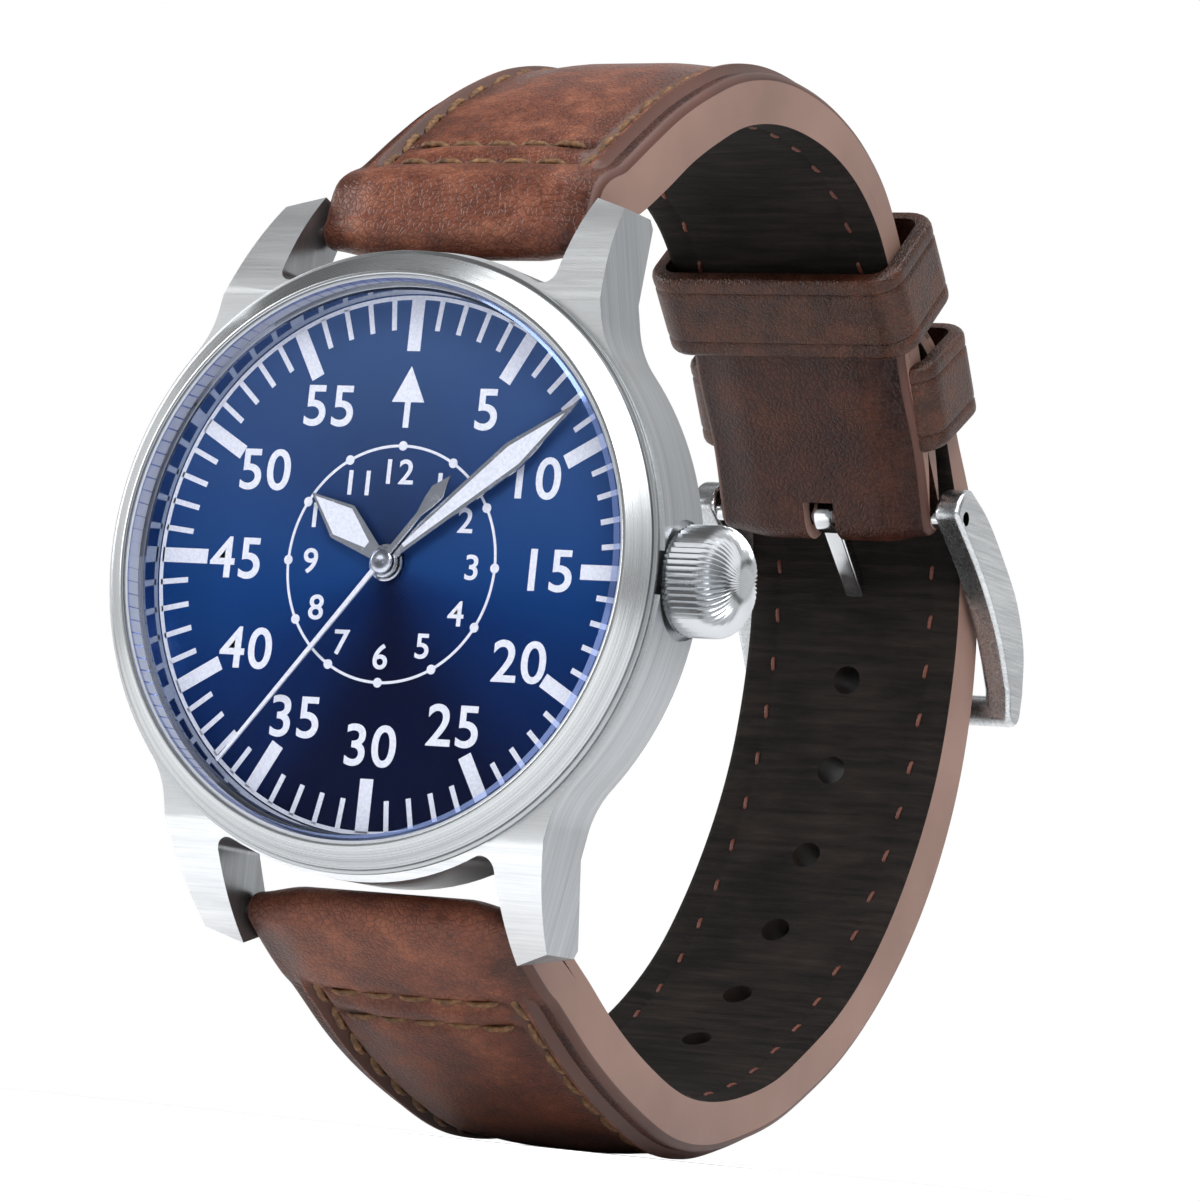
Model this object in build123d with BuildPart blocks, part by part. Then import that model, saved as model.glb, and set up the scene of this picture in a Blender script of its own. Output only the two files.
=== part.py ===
from build123d import *
from math import atan2, cos, degrees, hypot, radians, sin
import os

os.makedirs("parts", exist_ok=True)

# Driving sizes in millimetres. The watch stands with 12 o'clock up (+Z), its dial faces -Y
# and its crown points along +X. The origin is the centre of the case back's outer face.
case_radius = 19.6
case_height = 5.2
bezel_radius = 19.3
bezel_height = 1.6
crystal_radius = 17.35
crystal_thickness = 1.5
crystal_proud = 0.1
hand_room = 1.6
dial_radius = 17.3
dial_thickness = 0.4
back_stand = 3.0
back_wall = 1.0
back_radius = 16.6
lug_gap = 19.6
bar_reach = 21.6
bar_depth = 2.6
leather_thickness = 3.6
lining_thickness = 1.0
loop_radius = 36.0
running_gap = 0.04
seat_gap = 0.02
overrun = 1.0

# Levels, from the case back forward (front is -Y)
case_rear = -back_stand
case_front = case_rear - case_height
bezel_front = case_front - bezel_height
crystal_front = bezel_front - crystal_proud
crystal_rear = crystal_front + crystal_thickness
dial_front = crystal_rear + hand_room
dial_rear = dial_front + dial_thickness
back_inner = -back_wall


def front_plane(level, place=(0, 0)):
    """Sketch plane at Y = level that looks out through the dial, centred on an (x, z) place."""
    return Plane(origin=(place[0], level, place[1]), x_dir=(1, 0, 0), z_dir=(0, -1, 0))


def crown_plane(start):
    """Sketch plane across the crown's axis, at X = start."""
    return Plane(origin=(start, crown_level, 0), x_dir=(0, 0, 1), z_dir=(1, 0, 0))


def polar_place(distance, angle):
    return (distance * cos(radians(angle)), distance * sin(radians(angle)))


def finish(part, label):
    """Names a piece and writes its STEP file."""
    part.label = label
    export_step(part, f"parts/{label}.step")
    return part


# Case middle: a turned drum with four lugs that narrow, slope back and droop towards their tips
lug_inner = lug_gap / 2
lug_tip_width = 2.4
lug_root_width = 3.8
lug_bar_cover = 2.15
lug_reach = bar_reach + lug_bar_cover
lug_tip_slant = 0.8
lug_root_share = 0.79
lug_blend_angle = 40.0
lug_slope_share = 0.69
lug_drop = 5.0
lug_bulge_share = (0.40, 0.52)
lug_end_lean = 0.75
lug_heel = 0.3
lug_heel_round = 0.6
lug_under_share = 0.87
root_round = 0.8
gap_floor = (case_radius**2 - lug_inner**2) ** 0.5
gap_floor_angle = degrees(atan2(gap_floor, lug_inner))
movement_bore = 15.2
bezel_spigot_wall = 0.2
bezel_spigot_radius = crystal_radius + bezel_spigot_wall
crown_radius = 3.4
crown_recess_gap = 0.25
crown_recess_depth = 0.6
stem_depth = 1.6
crown_level = dial_rear + stem_depth
tube_radius = 1.2
tube_wall = 0.65
groove_start = 0.1
groove_width = 0.65
groove_depth = 0.4
bar_radius = 0.8
bar_tip_radius = 0.4
bar_hole_depth = 1.5

tip_outer = (lug_inner + lug_tip_width, lug_reach - lug_tip_slant)
root_outer = (lug_inner + lug_root_width, case_radius * lug_root_share)
lug_blend = polar_place(case_radius, lug_blend_angle)
with BuildPart() as case_middle:
    with BuildSketch(front_plane(0)) as case_plan:
        with BuildLine():
            ThreePointArc(
                (0, case_radius),
                polar_place(case_radius, (90 + gap_floor_angle) / 2),
                (lug_inner, gap_floor),
            )
            Polyline((lug_inner, gap_floor), (lug_inner, lug_reach), tip_outer, root_outer)
            TangentArc(root_outer, lug_blend, tangent=(root_outer[0] - tip_outer[0], root_outer[1] - tip_outer[1]))
            ThreePointArc(lug_blend, polar_place(case_radius, lug_blend_angle / 2), (case_radius, 0))
            Polyline((case_radius, 0), (0, 0), (0, case_radius))
        make_face()
        mirror(about=Plane.YZ)
        mirror(about=Plane.XZ)
        gap_corners = [
            corner
            for corner in case_plan.vertices()
            if abs(hypot(corner.X, corner.Y) - case_radius) < seat_gap and abs(abs(corner.X) - lug_inner) < seat_gap
        ]
        fillet(gap_corners, radius=root_round)
    extrude(amount=-case_front + overrun)
    # The side view: the lugs' top faces slope back, and their tips droop behind the drum's rear face
    with BuildSketch(Plane.YZ):
        with BuildLine():
            slope_start = lug_reach * lug_slope_share
            slope_length = lug_reach - slope_start
            Line((case_front, 0), (case_front, slope_start))
            ThreePointArc(
                (case_front, slope_start),
                (case_front + lug_drop * lug_bulge_share[0], slope_start + slope_length * lug_bulge_share[1]),
                (case_front + lug_drop, lug_reach),
            )
            Polyline(
                (case_front + lug_drop, lug_reach),
                (-lug_heel - lug_heel_round / 2, lug_reach - lug_end_lean),
                (-lug_heel, lug_reach - lug_end_lean - lug_heel_round),
                (case_rear, case_radius * lug_under_share),
                (case_rear, 0),
                (case_front, 0),
            )
        make_face()
        mirror(about=Plane.XZ)
    extrude(amount=case_radius + overrun, both=True, mode=Mode.INTERSECT)
    with BuildSketch(front_plane(case_rear)):
        Circle(movement_bore)
    extrude(amount=case_height + overrun, mode=Mode.SUBTRACT)
    with BuildSketch(front_plane(dial_rear)):
        Circle(bezel_spigot_radius + seat_gap)
    extrude(amount=case_height, mode=Mode.SUBTRACT)
    # Gasket groove in the rear face
    with BuildSketch(front_plane(case_rear)):
        Circle(movement_bore + groove_start + groove_width)
    extrude(amount=groove_depth, mode=Mode.SUBTRACT)
    # Crown recess and tube bore at 3 o'clock, blind holes for the spring bars in the lugs
    with BuildSketch(crown_plane(case_radius - crown_recess_depth)):
        Circle(crown_radius + crown_recess_gap)
    extrude(amount=case_radius, mode=Mode.SUBTRACT)
    with BuildSketch(crown_plane(0)):
        Circle(tube_radius + seat_gap)
    extrude(amount=case_radius + overrun, mode=Mode.SUBTRACT)
    with Locations((0, -bar_depth, bar_reach), (0, -bar_depth, -bar_reach)):
        Cylinder(
            bar_tip_radius + seat_gap,
            lug_gap + 2 * bar_hole_depth,
            rotation=(0, 90, 0),
            mode=Mode.SUBTRACT,
        )
finish(case_middle.part, "case_middle")

# Bezel: a brushed cone above a stepped edge, with a spigot that enters the case
bezel_edge = 0.35
bezel_step = 0.25
bezel_step_height = 0.2
bezel_land = 0.25
crystal_seat = crystal_radius + bezel_spigot_wall
crystal_shelf = 0.35
shelf_radius = crystal_radius - crystal_shelf
spigot_length = 0.9

with BuildPart() as bezel:
    with BuildSketch(Plane.XY):
        with BuildLine():
            Polyline(
                (bezel_radius, case_front),
                (bezel_radius, case_front - bezel_edge),
                (bezel_radius - bezel_step, case_front - bezel_edge),
                (bezel_radius - bezel_step, case_front - bezel_edge - bezel_step_height),
                (crystal_seat + bezel_land, bezel_front),
                (crystal_seat, bezel_front),
                (crystal_seat, crystal_rear),
                (shelf_radius, crystal_rear),
                (shelf_radius, case_front + spigot_length),
                (bezel_spigot_radius, case_front + spigot_length),
                (bezel_spigot_radius, case_front),
                close=True,
            )
        make_face()
    revolve(axis=Axis.Y)
finish(bezel.part, "bezel")

# Crystal: flat sapphire with a ground chamfer
crystal_chamfer = 0.3
with BuildPart() as crystal:
    with BuildSketch(front_plane(crystal_rear)):
        Circle(crystal_radius)
    extrude(amount=crystal_thickness)
    chamfer(crystal.faces().sort_by(Axis.Y)[0].edges(), length=crystal_chamfer)
finish(crystal.part, "crystal")


def turned_ring(label, inner, outer, rear, front):
    """A plain ring about the watch axis, from its rear level to its front level."""
    with BuildPart() as ring:
        with BuildSketch(front_plane(rear)):
            Circle(outer)
            Circle(inner, mode=Mode.SUBTRACT)
        extrude(amount=rear - front)
    return finish(ring.part, label)


# Crystal gasket, pressed between crystal and bezel
crystal_gasket_drop = 0.25
turned_ring("crystal_gasket", crystal_radius, crystal_seat, crystal_rear, bezel_front + crystal_gasket_drop)

# Dial ring: the polished wall between the dial and the crystal
dial_ring_wall = 0.15
turned_ring("dial_ring", shelf_radius - dial_ring_wall, shelf_radius - seat_gap, dial_front, crystal_rear)

# Dial: a disc with two feet that enter the main plate
dial_foot_radius = 0.35
dial_foot_length = 0.8
dial_foot_distance = 11.6
dial_foot_angles = (128, 332)
hour_pipe_radius = 0.85
with BuildPart() as dial:
    with BuildSketch(front_plane(dial_rear)):
        Circle(dial_radius)
        Circle(hour_pipe_radius + 3 * running_gap, mode=Mode.SUBTRACT)
    extrude(amount=dial_thickness)
    with BuildSketch(front_plane(dial_rear)):
        with Locations(*[polar_place(dial_foot_distance, angle) for angle in dial_foot_angles]):
            Circle(dial_foot_radius)
    extrude(amount=-dial_foot_length)
finish(dial.part, "dial")

# Case back: a screwed disc with six key notches, hollow towards the rotor
back_rim = 1.1
spigot_depth = 0.9
notch_width = 2.6
notch_depth = 0.7
notch_count = 6
notch_start = 30
with BuildPart() as case_back:
    with BuildSketch(Plane.XY):
        with BuildLine():
            Polyline(
                (0, 0),
                (back_radius - back_rim, 0),
                (back_radius, case_rear / 2),
                (back_radius, case_rear),
                (movement_bore - seat_gap, case_rear),
                (movement_bore - seat_gap, case_rear - spigot_depth),
                (movement_bore - back_rim, case_rear - spigot_depth),
                (movement_bore - back_rim, back_inner),
                (0, back_inner),
                close=True,
            )
        make_face()
    revolve(axis=Axis.Y)
    with BuildSketch(front_plane(overrun)):
        with PolarLocations(back_radius - notch_depth, notch_count, start_angle=notch_start):
            Rectangle(2 * notch_depth, notch_width)
    extrude(amount=overrun + notch_depth, mode=Mode.SUBTRACT)
finish(case_back.part, "case_back")

# Case back gasket in the case's rear groove
gasket_height = 0.35
gasket_inner = movement_bore + groove_start
turned_ring(
    "case_back_gasket",
    gasket_inner,
    gasket_inner + groove_width - seat_gap,
    case_rear,
    case_rear - gasket_height,
)

# Movement ring, between the dial and the case back's spigot
movement_radius = 12.8
ring_rear = case_rear - spigot_depth
with BuildPart() as movement_ring:
    with BuildSketch(front_plane(ring_rear)):
        Circle(movement_bore - seat_gap)
        Circle(movement_radius + seat_gap, mode=Mode.SUBTRACT)
    extrude(amount=ring_rear - dial_rear)
    with BuildSketch(crown_plane(0)):
        Circle(tube_radius + seat_gap)
    extrude(amount=case_radius, mode=Mode.SUBTRACT)
finish(movement_ring.part, "movement_ring")

# Crown tube, pressed through the case wall
crown_lift = 0.35
tube_stand = 1.6
crown_base = case_radius - crown_recess_depth + crown_lift
with BuildPart() as crown_tube:
    with BuildSketch(crown_plane(movement_bore)):
        Circle(tube_radius)
        Circle(tube_radius - tube_wall, mode=Mode.SUBTRACT)
    extrude(amount=crown_base + tube_stand - movement_bore)
finish(crown_tube.part, "crown_tube")

# Crown: V-shaped flutes run along its barrel and over its domed end, with a socket round the tube
crown_length = 4.1
crown_end_wall = 1.4
flute_count = 40
flute_depth = 0.2
gasket_width = 0.4
crown_foot_share = 0.93
crown_barrel_share = (0.12, 0.58)
crown_shoulder_share = (0.86, 0.86)
crown_flat_share = 0.65
stem_radius = 0.45
stem_seat_share = 0.8
flute_points = [
    polar_place(crown_radius - (flute_depth if half % 2 else 0), half * 180 / flute_count)
    for half in range(2 * flute_count)
]
with BuildPart() as crown:
    with BuildSketch(crown_plane(crown_base)):
        with BuildLine():
            Polyline(*flute_points, close=True)
        make_face()
    extrude(amount=crown_length)
    with BuildSketch(Plane(origin=(crown_base, crown_level, 0), x_dir=(1, 0, 0), z_dir=(0, 0, 1))):
        with BuildLine():
            Polyline(
                (0, 0),
                (0, crown_radius * crown_foot_share),
                (crown_length * crown_barrel_share[0], crown_radius),
                (crown_length * crown_barrel_share[1], crown_radius),
                (crown_length * crown_shoulder_share[0], crown_radius * crown_shoulder_share[1]),
                (crown_length, crown_radius * crown_flat_share),
                (crown_length, 0),
                close=True,
            )
        make_face()
    revolve(axis=Axis((0, crown_level, 0), (1, 0, 0)), mode=Mode.INTERSECT)
    with BuildSketch(crown_plane(crown_base)):
        Circle(tube_radius + gasket_width)
    extrude(amount=crown_length - crown_end_wall, mode=Mode.SUBTRACT)
    with BuildSketch(crown_plane(crown_base)):
        Circle(stem_radius)
    extrude(amount=crown_length * stem_seat_share, mode=Mode.SUBTRACT)
finish(crown.part, "crown")

# Crown gasket: seals the crown's socket against the tube
crown_gasket_start = 0.2
crown_gasket_length = 0.5
with BuildPart() as crown_gasket:
    with BuildSketch(crown_plane(crown_base + crown_gasket_start)):
        Circle(tube_radius + gasket_width)
        Circle(tube_radius + running_gap, mode=Mode.SUBTRACT)
    extrude(amount=crown_gasket_length)
finish(crown_gasket.part, "crown_gasket")

# Winding stem: round through the tube, square where the clutch slides on it
square_start = 6.2
square_length = 2.6
square_width = 0.56
crown_travel = 1.2
stem_end = crown_base + crown_length * stem_seat_share
with BuildPart() as winding_stem:
    with BuildSketch(crown_plane(square_start)):
        Rectangle(square_width, square_width)
    extrude(amount=square_length)
    with BuildSketch(crown_plane(square_start + square_length)):
        Circle(stem_radius)
    extrude(amount=stem_end - square_start - square_length)
finish(winding_stem.part, "winding_stem")

# Sliding clutch and winding pinion: they turn with the stem, which slides through them
clutch_radius = 0.95
clutch_clearance = 0.2
clutch_start = square_start + crown_travel + clutch_clearance
clutch_length = 1.1
clutch_teeth = 10
pinion_length = 1.0
pinion_teeth = 12
addendum_share = 0.9
dedendum_share = 1.15
root_half_share = 0.30


def toothed_outline(teeth, module, phase=0):
    """Corner points of a wheel with straight-flanked pointed teeth, one tooth at the phase angle."""
    root = teeth * module / 2 - dedendum_share * module
    tip = teeth * module / 2 + addendum_share * module
    corners = ((-root_half_share, root), (0, tip), (root_half_share, root))
    return [
        polar_place(radius, phase + (tooth + share) * 360 / teeth)
        for tooth in range(teeth)
        for share, radius in corners
    ]


def stem_wheel(label, start, length, teeth, hole):
    """A toothed collar on the winding stem. Its hole is square for a sliding fit, or round."""
    with BuildPart() as collar:
        with BuildSketch(crown_plane(start)):
            with BuildLine():
                Polyline(*toothed_outline(teeth, 2 * clutch_radius / (teeth + 2)), close=True)
            make_face()
            if hole == "square":
                Rectangle(square_width + 2 * running_gap, square_width + 2 * running_gap, mode=Mode.SUBTRACT)
            else:
                Circle(stem_radius + running_gap, mode=Mode.SUBTRACT)
        extrude(amount=length)
    return finish(collar.part, label)


pinion_start = clutch_start + clutch_length + 2 * seat_gap
stem_wheel("sliding_clutch", clutch_start, clutch_length, clutch_teeth, "square")
stem_wheel("winding_pinion", pinion_start, pinion_length, pinion_teeth, "round")

# Movement levels, from the dial rearward
plate_thickness = 0.8
plate_front = dial_rear + stem_depth - plate_thickness
plate_rear = dial_rear + stem_depth
train_height = 2.0
bridge_thickness = 0.5
bridge_front = plate_rear + train_height
bridge_rear = bridge_front + bridge_thickness
arbor_radius = 0.26
pivot_radius = 0.13
pivot_length = 0.4
pivot_hole = pivot_radius + running_gap
jewel_radius = 0.5

# Train geometry: centre, third, fourth and escape wheels, with the seconds at the centre
centre_teeth, third_pinion_teeth = 60, 8
third_teeth, fourth_pinion_teeth = 64, 8
fourth_teeth, escape_pinion_teeth = 60, 6
barrel_teeth, centre_pinion_teeth = 60, 10
third_distance = 5.4
escape_distance = 5.28
barrel_distance = 5.46
balance_distance = 8.9
third_angle = 190.0
escape_angle = 290.0
balance_angle = 260.0
barrel_angle = 75.0
centre_module = 2 * third_distance / (centre_teeth + third_pinion_teeth)
third_module = 2 * third_distance / (third_teeth + fourth_pinion_teeth)
fourth_module = 2 * escape_distance / (fourth_teeth + escape_pinion_teeth)
barrel_module = 2 * barrel_distance / (barrel_teeth + centre_pinion_teeth)
third_place = polar_place(third_distance, third_angle)
escape_place = polar_place(escape_distance, escape_angle)
barrel_place = polar_place(barrel_distance, barrel_angle)
balance_place = polar_place(balance_distance, balance_angle)
fork_share = 0.5
fork_place = (
    escape_place[0] + (balance_place[0] - escape_place[0]) * fork_share,
    escape_place[1] + (balance_place[1] - escape_place[1]) * fork_share,
)
minute_wheel_teeth, cannon_teeth = 24, 8
hour_wheel_teeth, minute_pinion_teeth = 32, 8
motion_distance = 3.4
motion_angle = 230.0
cannon_module = 2 * motion_distance / (minute_wheel_teeth + cannon_teeth)
hour_module = 2 * motion_distance / (hour_wheel_teeth + minute_pinion_teeth)
motion_place = polar_place(motion_distance, motion_angle)

# Main plate, with a slot for the stem works and pivot holes
slot_room = 0.35
slot_half_width = clutch_radius + slot_room
plate_pivots = [third_place, escape_place, fork_place, balance_place, barrel_place]
centre_bore = 0.72
plate_rim = 2.0
with BuildPart() as main_plate:
    with BuildSketch(front_plane(plate_rear)):
        Circle(movement_radius)
        Circle(centre_bore + running_gap, mode=Mode.SUBTRACT)
        with Locations((movement_radius / 2 + square_start / 2 + overrun, 0)):
            Rectangle(movement_radius - square_start + 2 * overrun, 2 * slot_half_width, mode=Mode.SUBTRACT)
    extrude(amount=plate_rear - plate_front)
    with BuildSketch(front_plane(plate_front)):
        Circle(movement_radius)
        Circle(movement_radius - plate_rim, mode=Mode.SUBTRACT)
        with Locations((movement_radius, 0)):
            Rectangle(3 * plate_rim, 2 * slot_half_width, mode=Mode.SUBTRACT)
    extrude(amount=plate_front - dial_rear)
    with BuildSketch(front_plane(plate_rear)):
        with Locations(*plate_pivots):
            Circle(pivot_hole)
    extrude(amount=plate_rear - plate_front, mode=Mode.SUBTRACT)
    with BuildSketch(front_plane(plate_rear + overrun)):
        with Locations(*[polar_place(dial_foot_distance, angle) for angle in dial_foot_angles]):
            Circle(dial_foot_radius + seat_gap)
    extrude(amount=plate_rear - dial_rear + 2 * overrun, mode=Mode.SUBTRACT)
finish(main_plate.part, "main_plate")

# Bridges stand on pillars that reach the main plate
pillar_radius = 0.7
pillar_distance = 12.0
bridge_end_radius = 0.75
barrel_boss_radius = 2.0
centre_boss_radius = 0.9
balance_room = 0.4
balance_radius = 3.4


def make_bridge(label, outline_circles, cut_circles, pillars, pivots, jewelled=True):
    """A flat bridge: its outline joins circles, less clearances, with pillars and pivot holes."""
    with BuildPart() as bridge:
        with BuildSketch(front_plane(bridge_rear)):
            for place, radius in outline_circles:
                with Locations(place):
                    Circle(radius)
            make_hull()
            for place, radius in cut_circles:
                with Locations(place):
                    Circle(radius, mode=Mode.SUBTRACT)
        extrude(amount=bridge_rear - bridge_front)
        with BuildSketch(front_plane(bridge_rear)):
            with Locations(*pillars):
                Circle(pillar_radius)
        extrude(amount=bridge_rear - plate_rear)
        with BuildSketch(front_plane(bridge_rear)):
            with Locations(*pivots):
                Circle(jewel_radius if jewelled else pivot_hole)
        extrude(amount=bridge_rear - bridge_front, mode=Mode.SUBTRACT)
    return finish(bridge.part, label)


barrel_pillars = [polar_place(pillar_distance, 20), polar_place(pillar_distance, 75), polar_place(pillar_distance, 130)]
make_bridge(
    "barrel_bridge",
    [(place, bridge_end_radius) for place in barrel_pillars] + [(barrel_place, barrel_boss_radius)],
    [],
    barrel_pillars,
    [barrel_place],
    jewelled=False,
)
train_pillars = [polar_place(pillar_distance, 165), polar_place(pillar_distance, 215), polar_place(pillar_distance, 310)]
make_bridge(
    "train_bridge",
    [(place, bridge_end_radius) for place in train_pillars] + [((0, 0), centre_boss_radius)],
    [(balance_place, balance_radius + balance_room)],
    train_pillars,
    [third_place, escape_place, (0, 0)],
)
cock_pillars = [polar_place(pillar_distance, 236), polar_place(pillar_distance, 284)]
make_bridge(
    "balance_cock",
    [(place, bridge_end_radius) for place in cock_pillars] + [(balance_place, centre_boss_radius)],
    [],
    cock_pillars,
    [balance_place],
)

# Jewel bearings: one ring for each train pivot in the bridges
with BuildPart() as jewel_bearings:
    with BuildSketch(front_plane(bridge_rear)):
        with Locations(third_place, escape_place, balance_place, (0, 0)):
            Circle(jewel_radius)
            Circle(pivot_hole, mode=Mode.SUBTRACT)
    extrude(amount=bridge_rear - bridge_front)
finish(jewel_bearings.part, "jewel_bearings")


def make_wheel(label, place, discs, rear=None, front=None):
    """A wheel on its arbor. Each disc is (rear depth behind the plate, thickness, teeth, module, phase)."""
    rear = bridge_front if rear is None else rear
    front = plate_rear if front is None else front
    with BuildPart() as wheel:
        for depth, thickness, teeth, module, phase in discs:
            with BuildSketch(front_plane(plate_rear + depth + thickness, place)):
                with BuildLine():
                    Polyline(*toothed_outline(teeth, module, phase), close=True)
                make_face()
            extrude(amount=thickness)
        with BuildSketch(front_plane(rear - seat_gap, place)):
            Circle(arbor_radius)
        extrude(amount=rear - front - 2 * seat_gap)
        with BuildSketch(front_plane(rear + pivot_length, place)):
            Circle(pivot_radius)
        extrude(amount=rear - front + 2 * pivot_length)
    return finish(wheel.part, label)


def facing_phase(teeth, angle, gap=False):
    """Phase that puts a tooth, or a gap between teeth, on the line at that angle."""
    return angle + (180 / teeth if gap else 0)


barrel_depth, barrel_disc = 0.1, 0.2
centre_depth = 1.0
third_depth = 1.3
fourth_depth = 1.6
wheel_thickness = 0.12
pinion_extra = 0.1

make_wheel(
    "third_wheel",
    third_place,
    [
        (centre_depth - pinion_extra / 2, wheel_thickness + pinion_extra, third_pinion_teeth, centre_module,
         facing_phase(third_pinion_teeth, third_angle + 180, gap=True)),
        (third_depth, wheel_thickness, third_teeth, third_module, facing_phase(third_teeth, third_angle + 180)),
    ],
)
escape_wheel_teeth = 15
escape_wheel_radius = 2.0
escape_root_radius = 1.5
escape_tooth_share = 0.18
with BuildPart() as escape_wheel:
    with BuildSketch(front_plane(plate_rear + third_depth + wheel_thickness, escape_place)):
        with BuildLine():
            Polyline(
                *[
                    polar_place(escape_root_radius if side else escape_wheel_radius,
                                (tooth + escape_tooth_share * side) * 360 / escape_wheel_teeth)
                    for tooth in range(escape_wheel_teeth)
                    for side in (0, 1)
                ],
                close=True,
            )
        make_face()
    extrude(amount=wheel_thickness)
    with BuildSketch(front_plane(plate_rear + fourth_depth + wheel_thickness + pinion_extra / 2, escape_place)):
        with BuildLine():
            Polyline(
                *toothed_outline(escape_pinion_teeth, fourth_module,
                                 facing_phase(escape_pinion_teeth, escape_angle + 180, gap=True)),
                close=True,
            )
        make_face()
    extrude(amount=wheel_thickness + pinion_extra)
    with BuildSketch(front_plane(bridge_front - seat_gap, escape_place)):
        Circle(arbor_radius)
    extrude(amount=train_height - 2 * seat_gap)
    with BuildSketch(front_plane(bridge_front + pivot_length, escape_place)):
        Circle(pivot_radius)
    extrude(amount=train_height + 2 * pivot_length)
finish(escape_wheel.part, "escape_wheel")

# Barrel: toothed drum, closed by its cover, with the mainspring coiled inside it
barrel_drum_radius = barrel_teeth * barrel_module / 2 - 2 * barrel_module
barrel_height = 0.75
barrel_wall = 0.12
barrel_arbor_radius = 0.6
spring_strip = 0.12
spring_start_gap = 0.05
spring_end_gap = 0.3
spring_turns = 5
with BuildPart() as barrel:
    with BuildSketch(front_plane(plate_rear + barrel_depth + barrel_disc, barrel_place)):
        with BuildLine():
            Polyline(
                *toothed_outline(barrel_teeth, barrel_module,
                                 facing_phase(barrel_teeth, barrel_angle + 180, gap=True)),
                close=True,
            )
        make_face()
        Circle(barrel_drum_radius - barrel_wall, mode=Mode.SUBTRACT)
    extrude(amount=barrel_disc)
    with BuildSketch(front_plane(plate_rear + barrel_depth + barrel_height, barrel_place)):
        Circle(barrel_drum_radius)
        Circle(barrel_drum_radius - barrel_wall, mode=Mode.SUBTRACT)
    extrude(amount=barrel_height)
    for lid_depth in (barrel_depth + barrel_wall, barrel_depth + barrel_height):
        with BuildSketch(front_plane(plate_rear + lid_depth, barrel_place)):
            Circle(barrel_drum_radius)
            Circle(barrel_arbor_radius + running_gap, mode=Mode.SUBTRACT)
        extrude(amount=barrel_wall)
finish(barrel.part, "barrel")

with BuildPart() as barrel_arbor:
    with BuildSketch(front_plane(bridge_front - seat_gap, barrel_place)):
        Circle(barrel_arbor_radius)
    extrude(amount=train_height - 2 * seat_gap)
    with BuildSketch(front_plane(bridge_rear - seat_gap, barrel_place)):
        Circle(pivot_radius)
    extrude(amount=bridge_rear - plate_front - 2 * seat_gap)
finish(barrel_arbor.part, "barrel_arbor")


def spiral_band(inner, outer, turns, thickness, steps_per_turn=12):
    """Corner points of a flat spiral strip, out along one side and back along the other."""
    steps = int(turns * steps_per_turn)
    outward = [
        (inner + (outer - inner) * step / steps, 360 * turns * step / steps) for step in range(steps + 1)
    ]
    face = [polar_place(radius, angle) for radius, angle in outward]
    back = [polar_place(radius + thickness, angle) for radius, angle in reversed(outward)]
    return face + back


spring_outer = barrel_drum_radius - barrel_wall - spring_end_gap
with BuildPart() as mainspring:
    with BuildSketch(front_plane(plate_rear + barrel_depth + barrel_height - 2 * barrel_wall, barrel_place)):
        with BuildLine():
            Polyline(
                *spiral_band(barrel_arbor_radius + spring_start_gap, spring_outer, spring_turns, spring_strip),
                close=True,
            )
        make_face()
    extrude(amount=barrel_height - 4 * barrel_wall)
finish(mainspring.part, "mainspring")

# Centre wheel: hollow arbor that carries the cannon pinion, with the fourth arbor inside it
fourth_arbor_radius = 0.2
centre_hole = fourth_arbor_radius + running_gap
centre_arbor_radius = 0.42
cannon_bore = centre_arbor_radius + running_gap / 2
cannon_radius = 0.62
hour_hand_height, minute_hand_height, second_hand_height = 0.45, 0.8, 1.12
hand_thickness = 0.16
arbor_stand = 0.06
centre_front = dial_front - minute_hand_height - hand_thickness - arbor_stand
centre_pinion_depth = 0.05
centre_pinion_height = 0.35
with BuildPart() as centre_wheel:
    for depth, thickness, teeth, module, phase in (
        (centre_pinion_depth, centre_pinion_height, centre_pinion_teeth, barrel_module, facing_phase(centre_pinion_teeth, barrel_angle)),
        (centre_depth, wheel_thickness, centre_teeth, centre_module, facing_phase(centre_teeth, third_angle)),
    ):
        with BuildSketch(front_plane(plate_rear + depth + thickness)):
            with BuildLine():
                Polyline(*toothed_outline(teeth, module, phase), close=True)
            make_face()
        extrude(amount=thickness)
    with BuildSketch(front_plane(plate_rear + centre_depth + wheel_thickness)):
        Circle(centre_arbor_radius)
    extrude(amount=plate_rear + centre_depth + wheel_thickness - centre_front)
    with BuildSketch(front_plane(bridge_front)):
        Circle(centre_hole)
    extrude(amount=bridge_front - centre_front + overrun, mode=Mode.SUBTRACT)
finish(centre_wheel.part, "centre_wheel")

# Fourth wheel: its long arbor passes through the centre wheel and carries the seconds hand
cap_height = 0.22
cap_radius = 0.75
second_front = dial_front - second_hand_height - hand_thickness
with BuildPart() as fourth_wheel:
    for depth, thickness, teeth, module, phase in (
        (third_depth - pinion_extra / 2, wheel_thickness + pinion_extra, fourth_pinion_teeth, third_module,
         facing_phase(fourth_pinion_teeth, third_angle, gap=True)),
        (fourth_depth, wheel_thickness, fourth_teeth, fourth_module, facing_phase(fourth_teeth, escape_angle)),
    ):
        with BuildSketch(front_plane(plate_rear + depth + thickness)):
            with BuildLine():
                Polyline(*toothed_outline(teeth, module, phase), close=True)
            make_face()
        extrude(amount=thickness)
    with BuildSketch(front_plane(bridge_front - seat_gap)):
        Circle(fourth_arbor_radius)
    extrude(amount=bridge_front - seat_gap - second_front)
    with BuildSketch(front_plane(bridge_front + pivot_length)):
        Circle(pivot_radius)
    extrude(amount=2 * pivot_length)
finish(fourth_wheel.part, "fourth_wheel")

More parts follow.
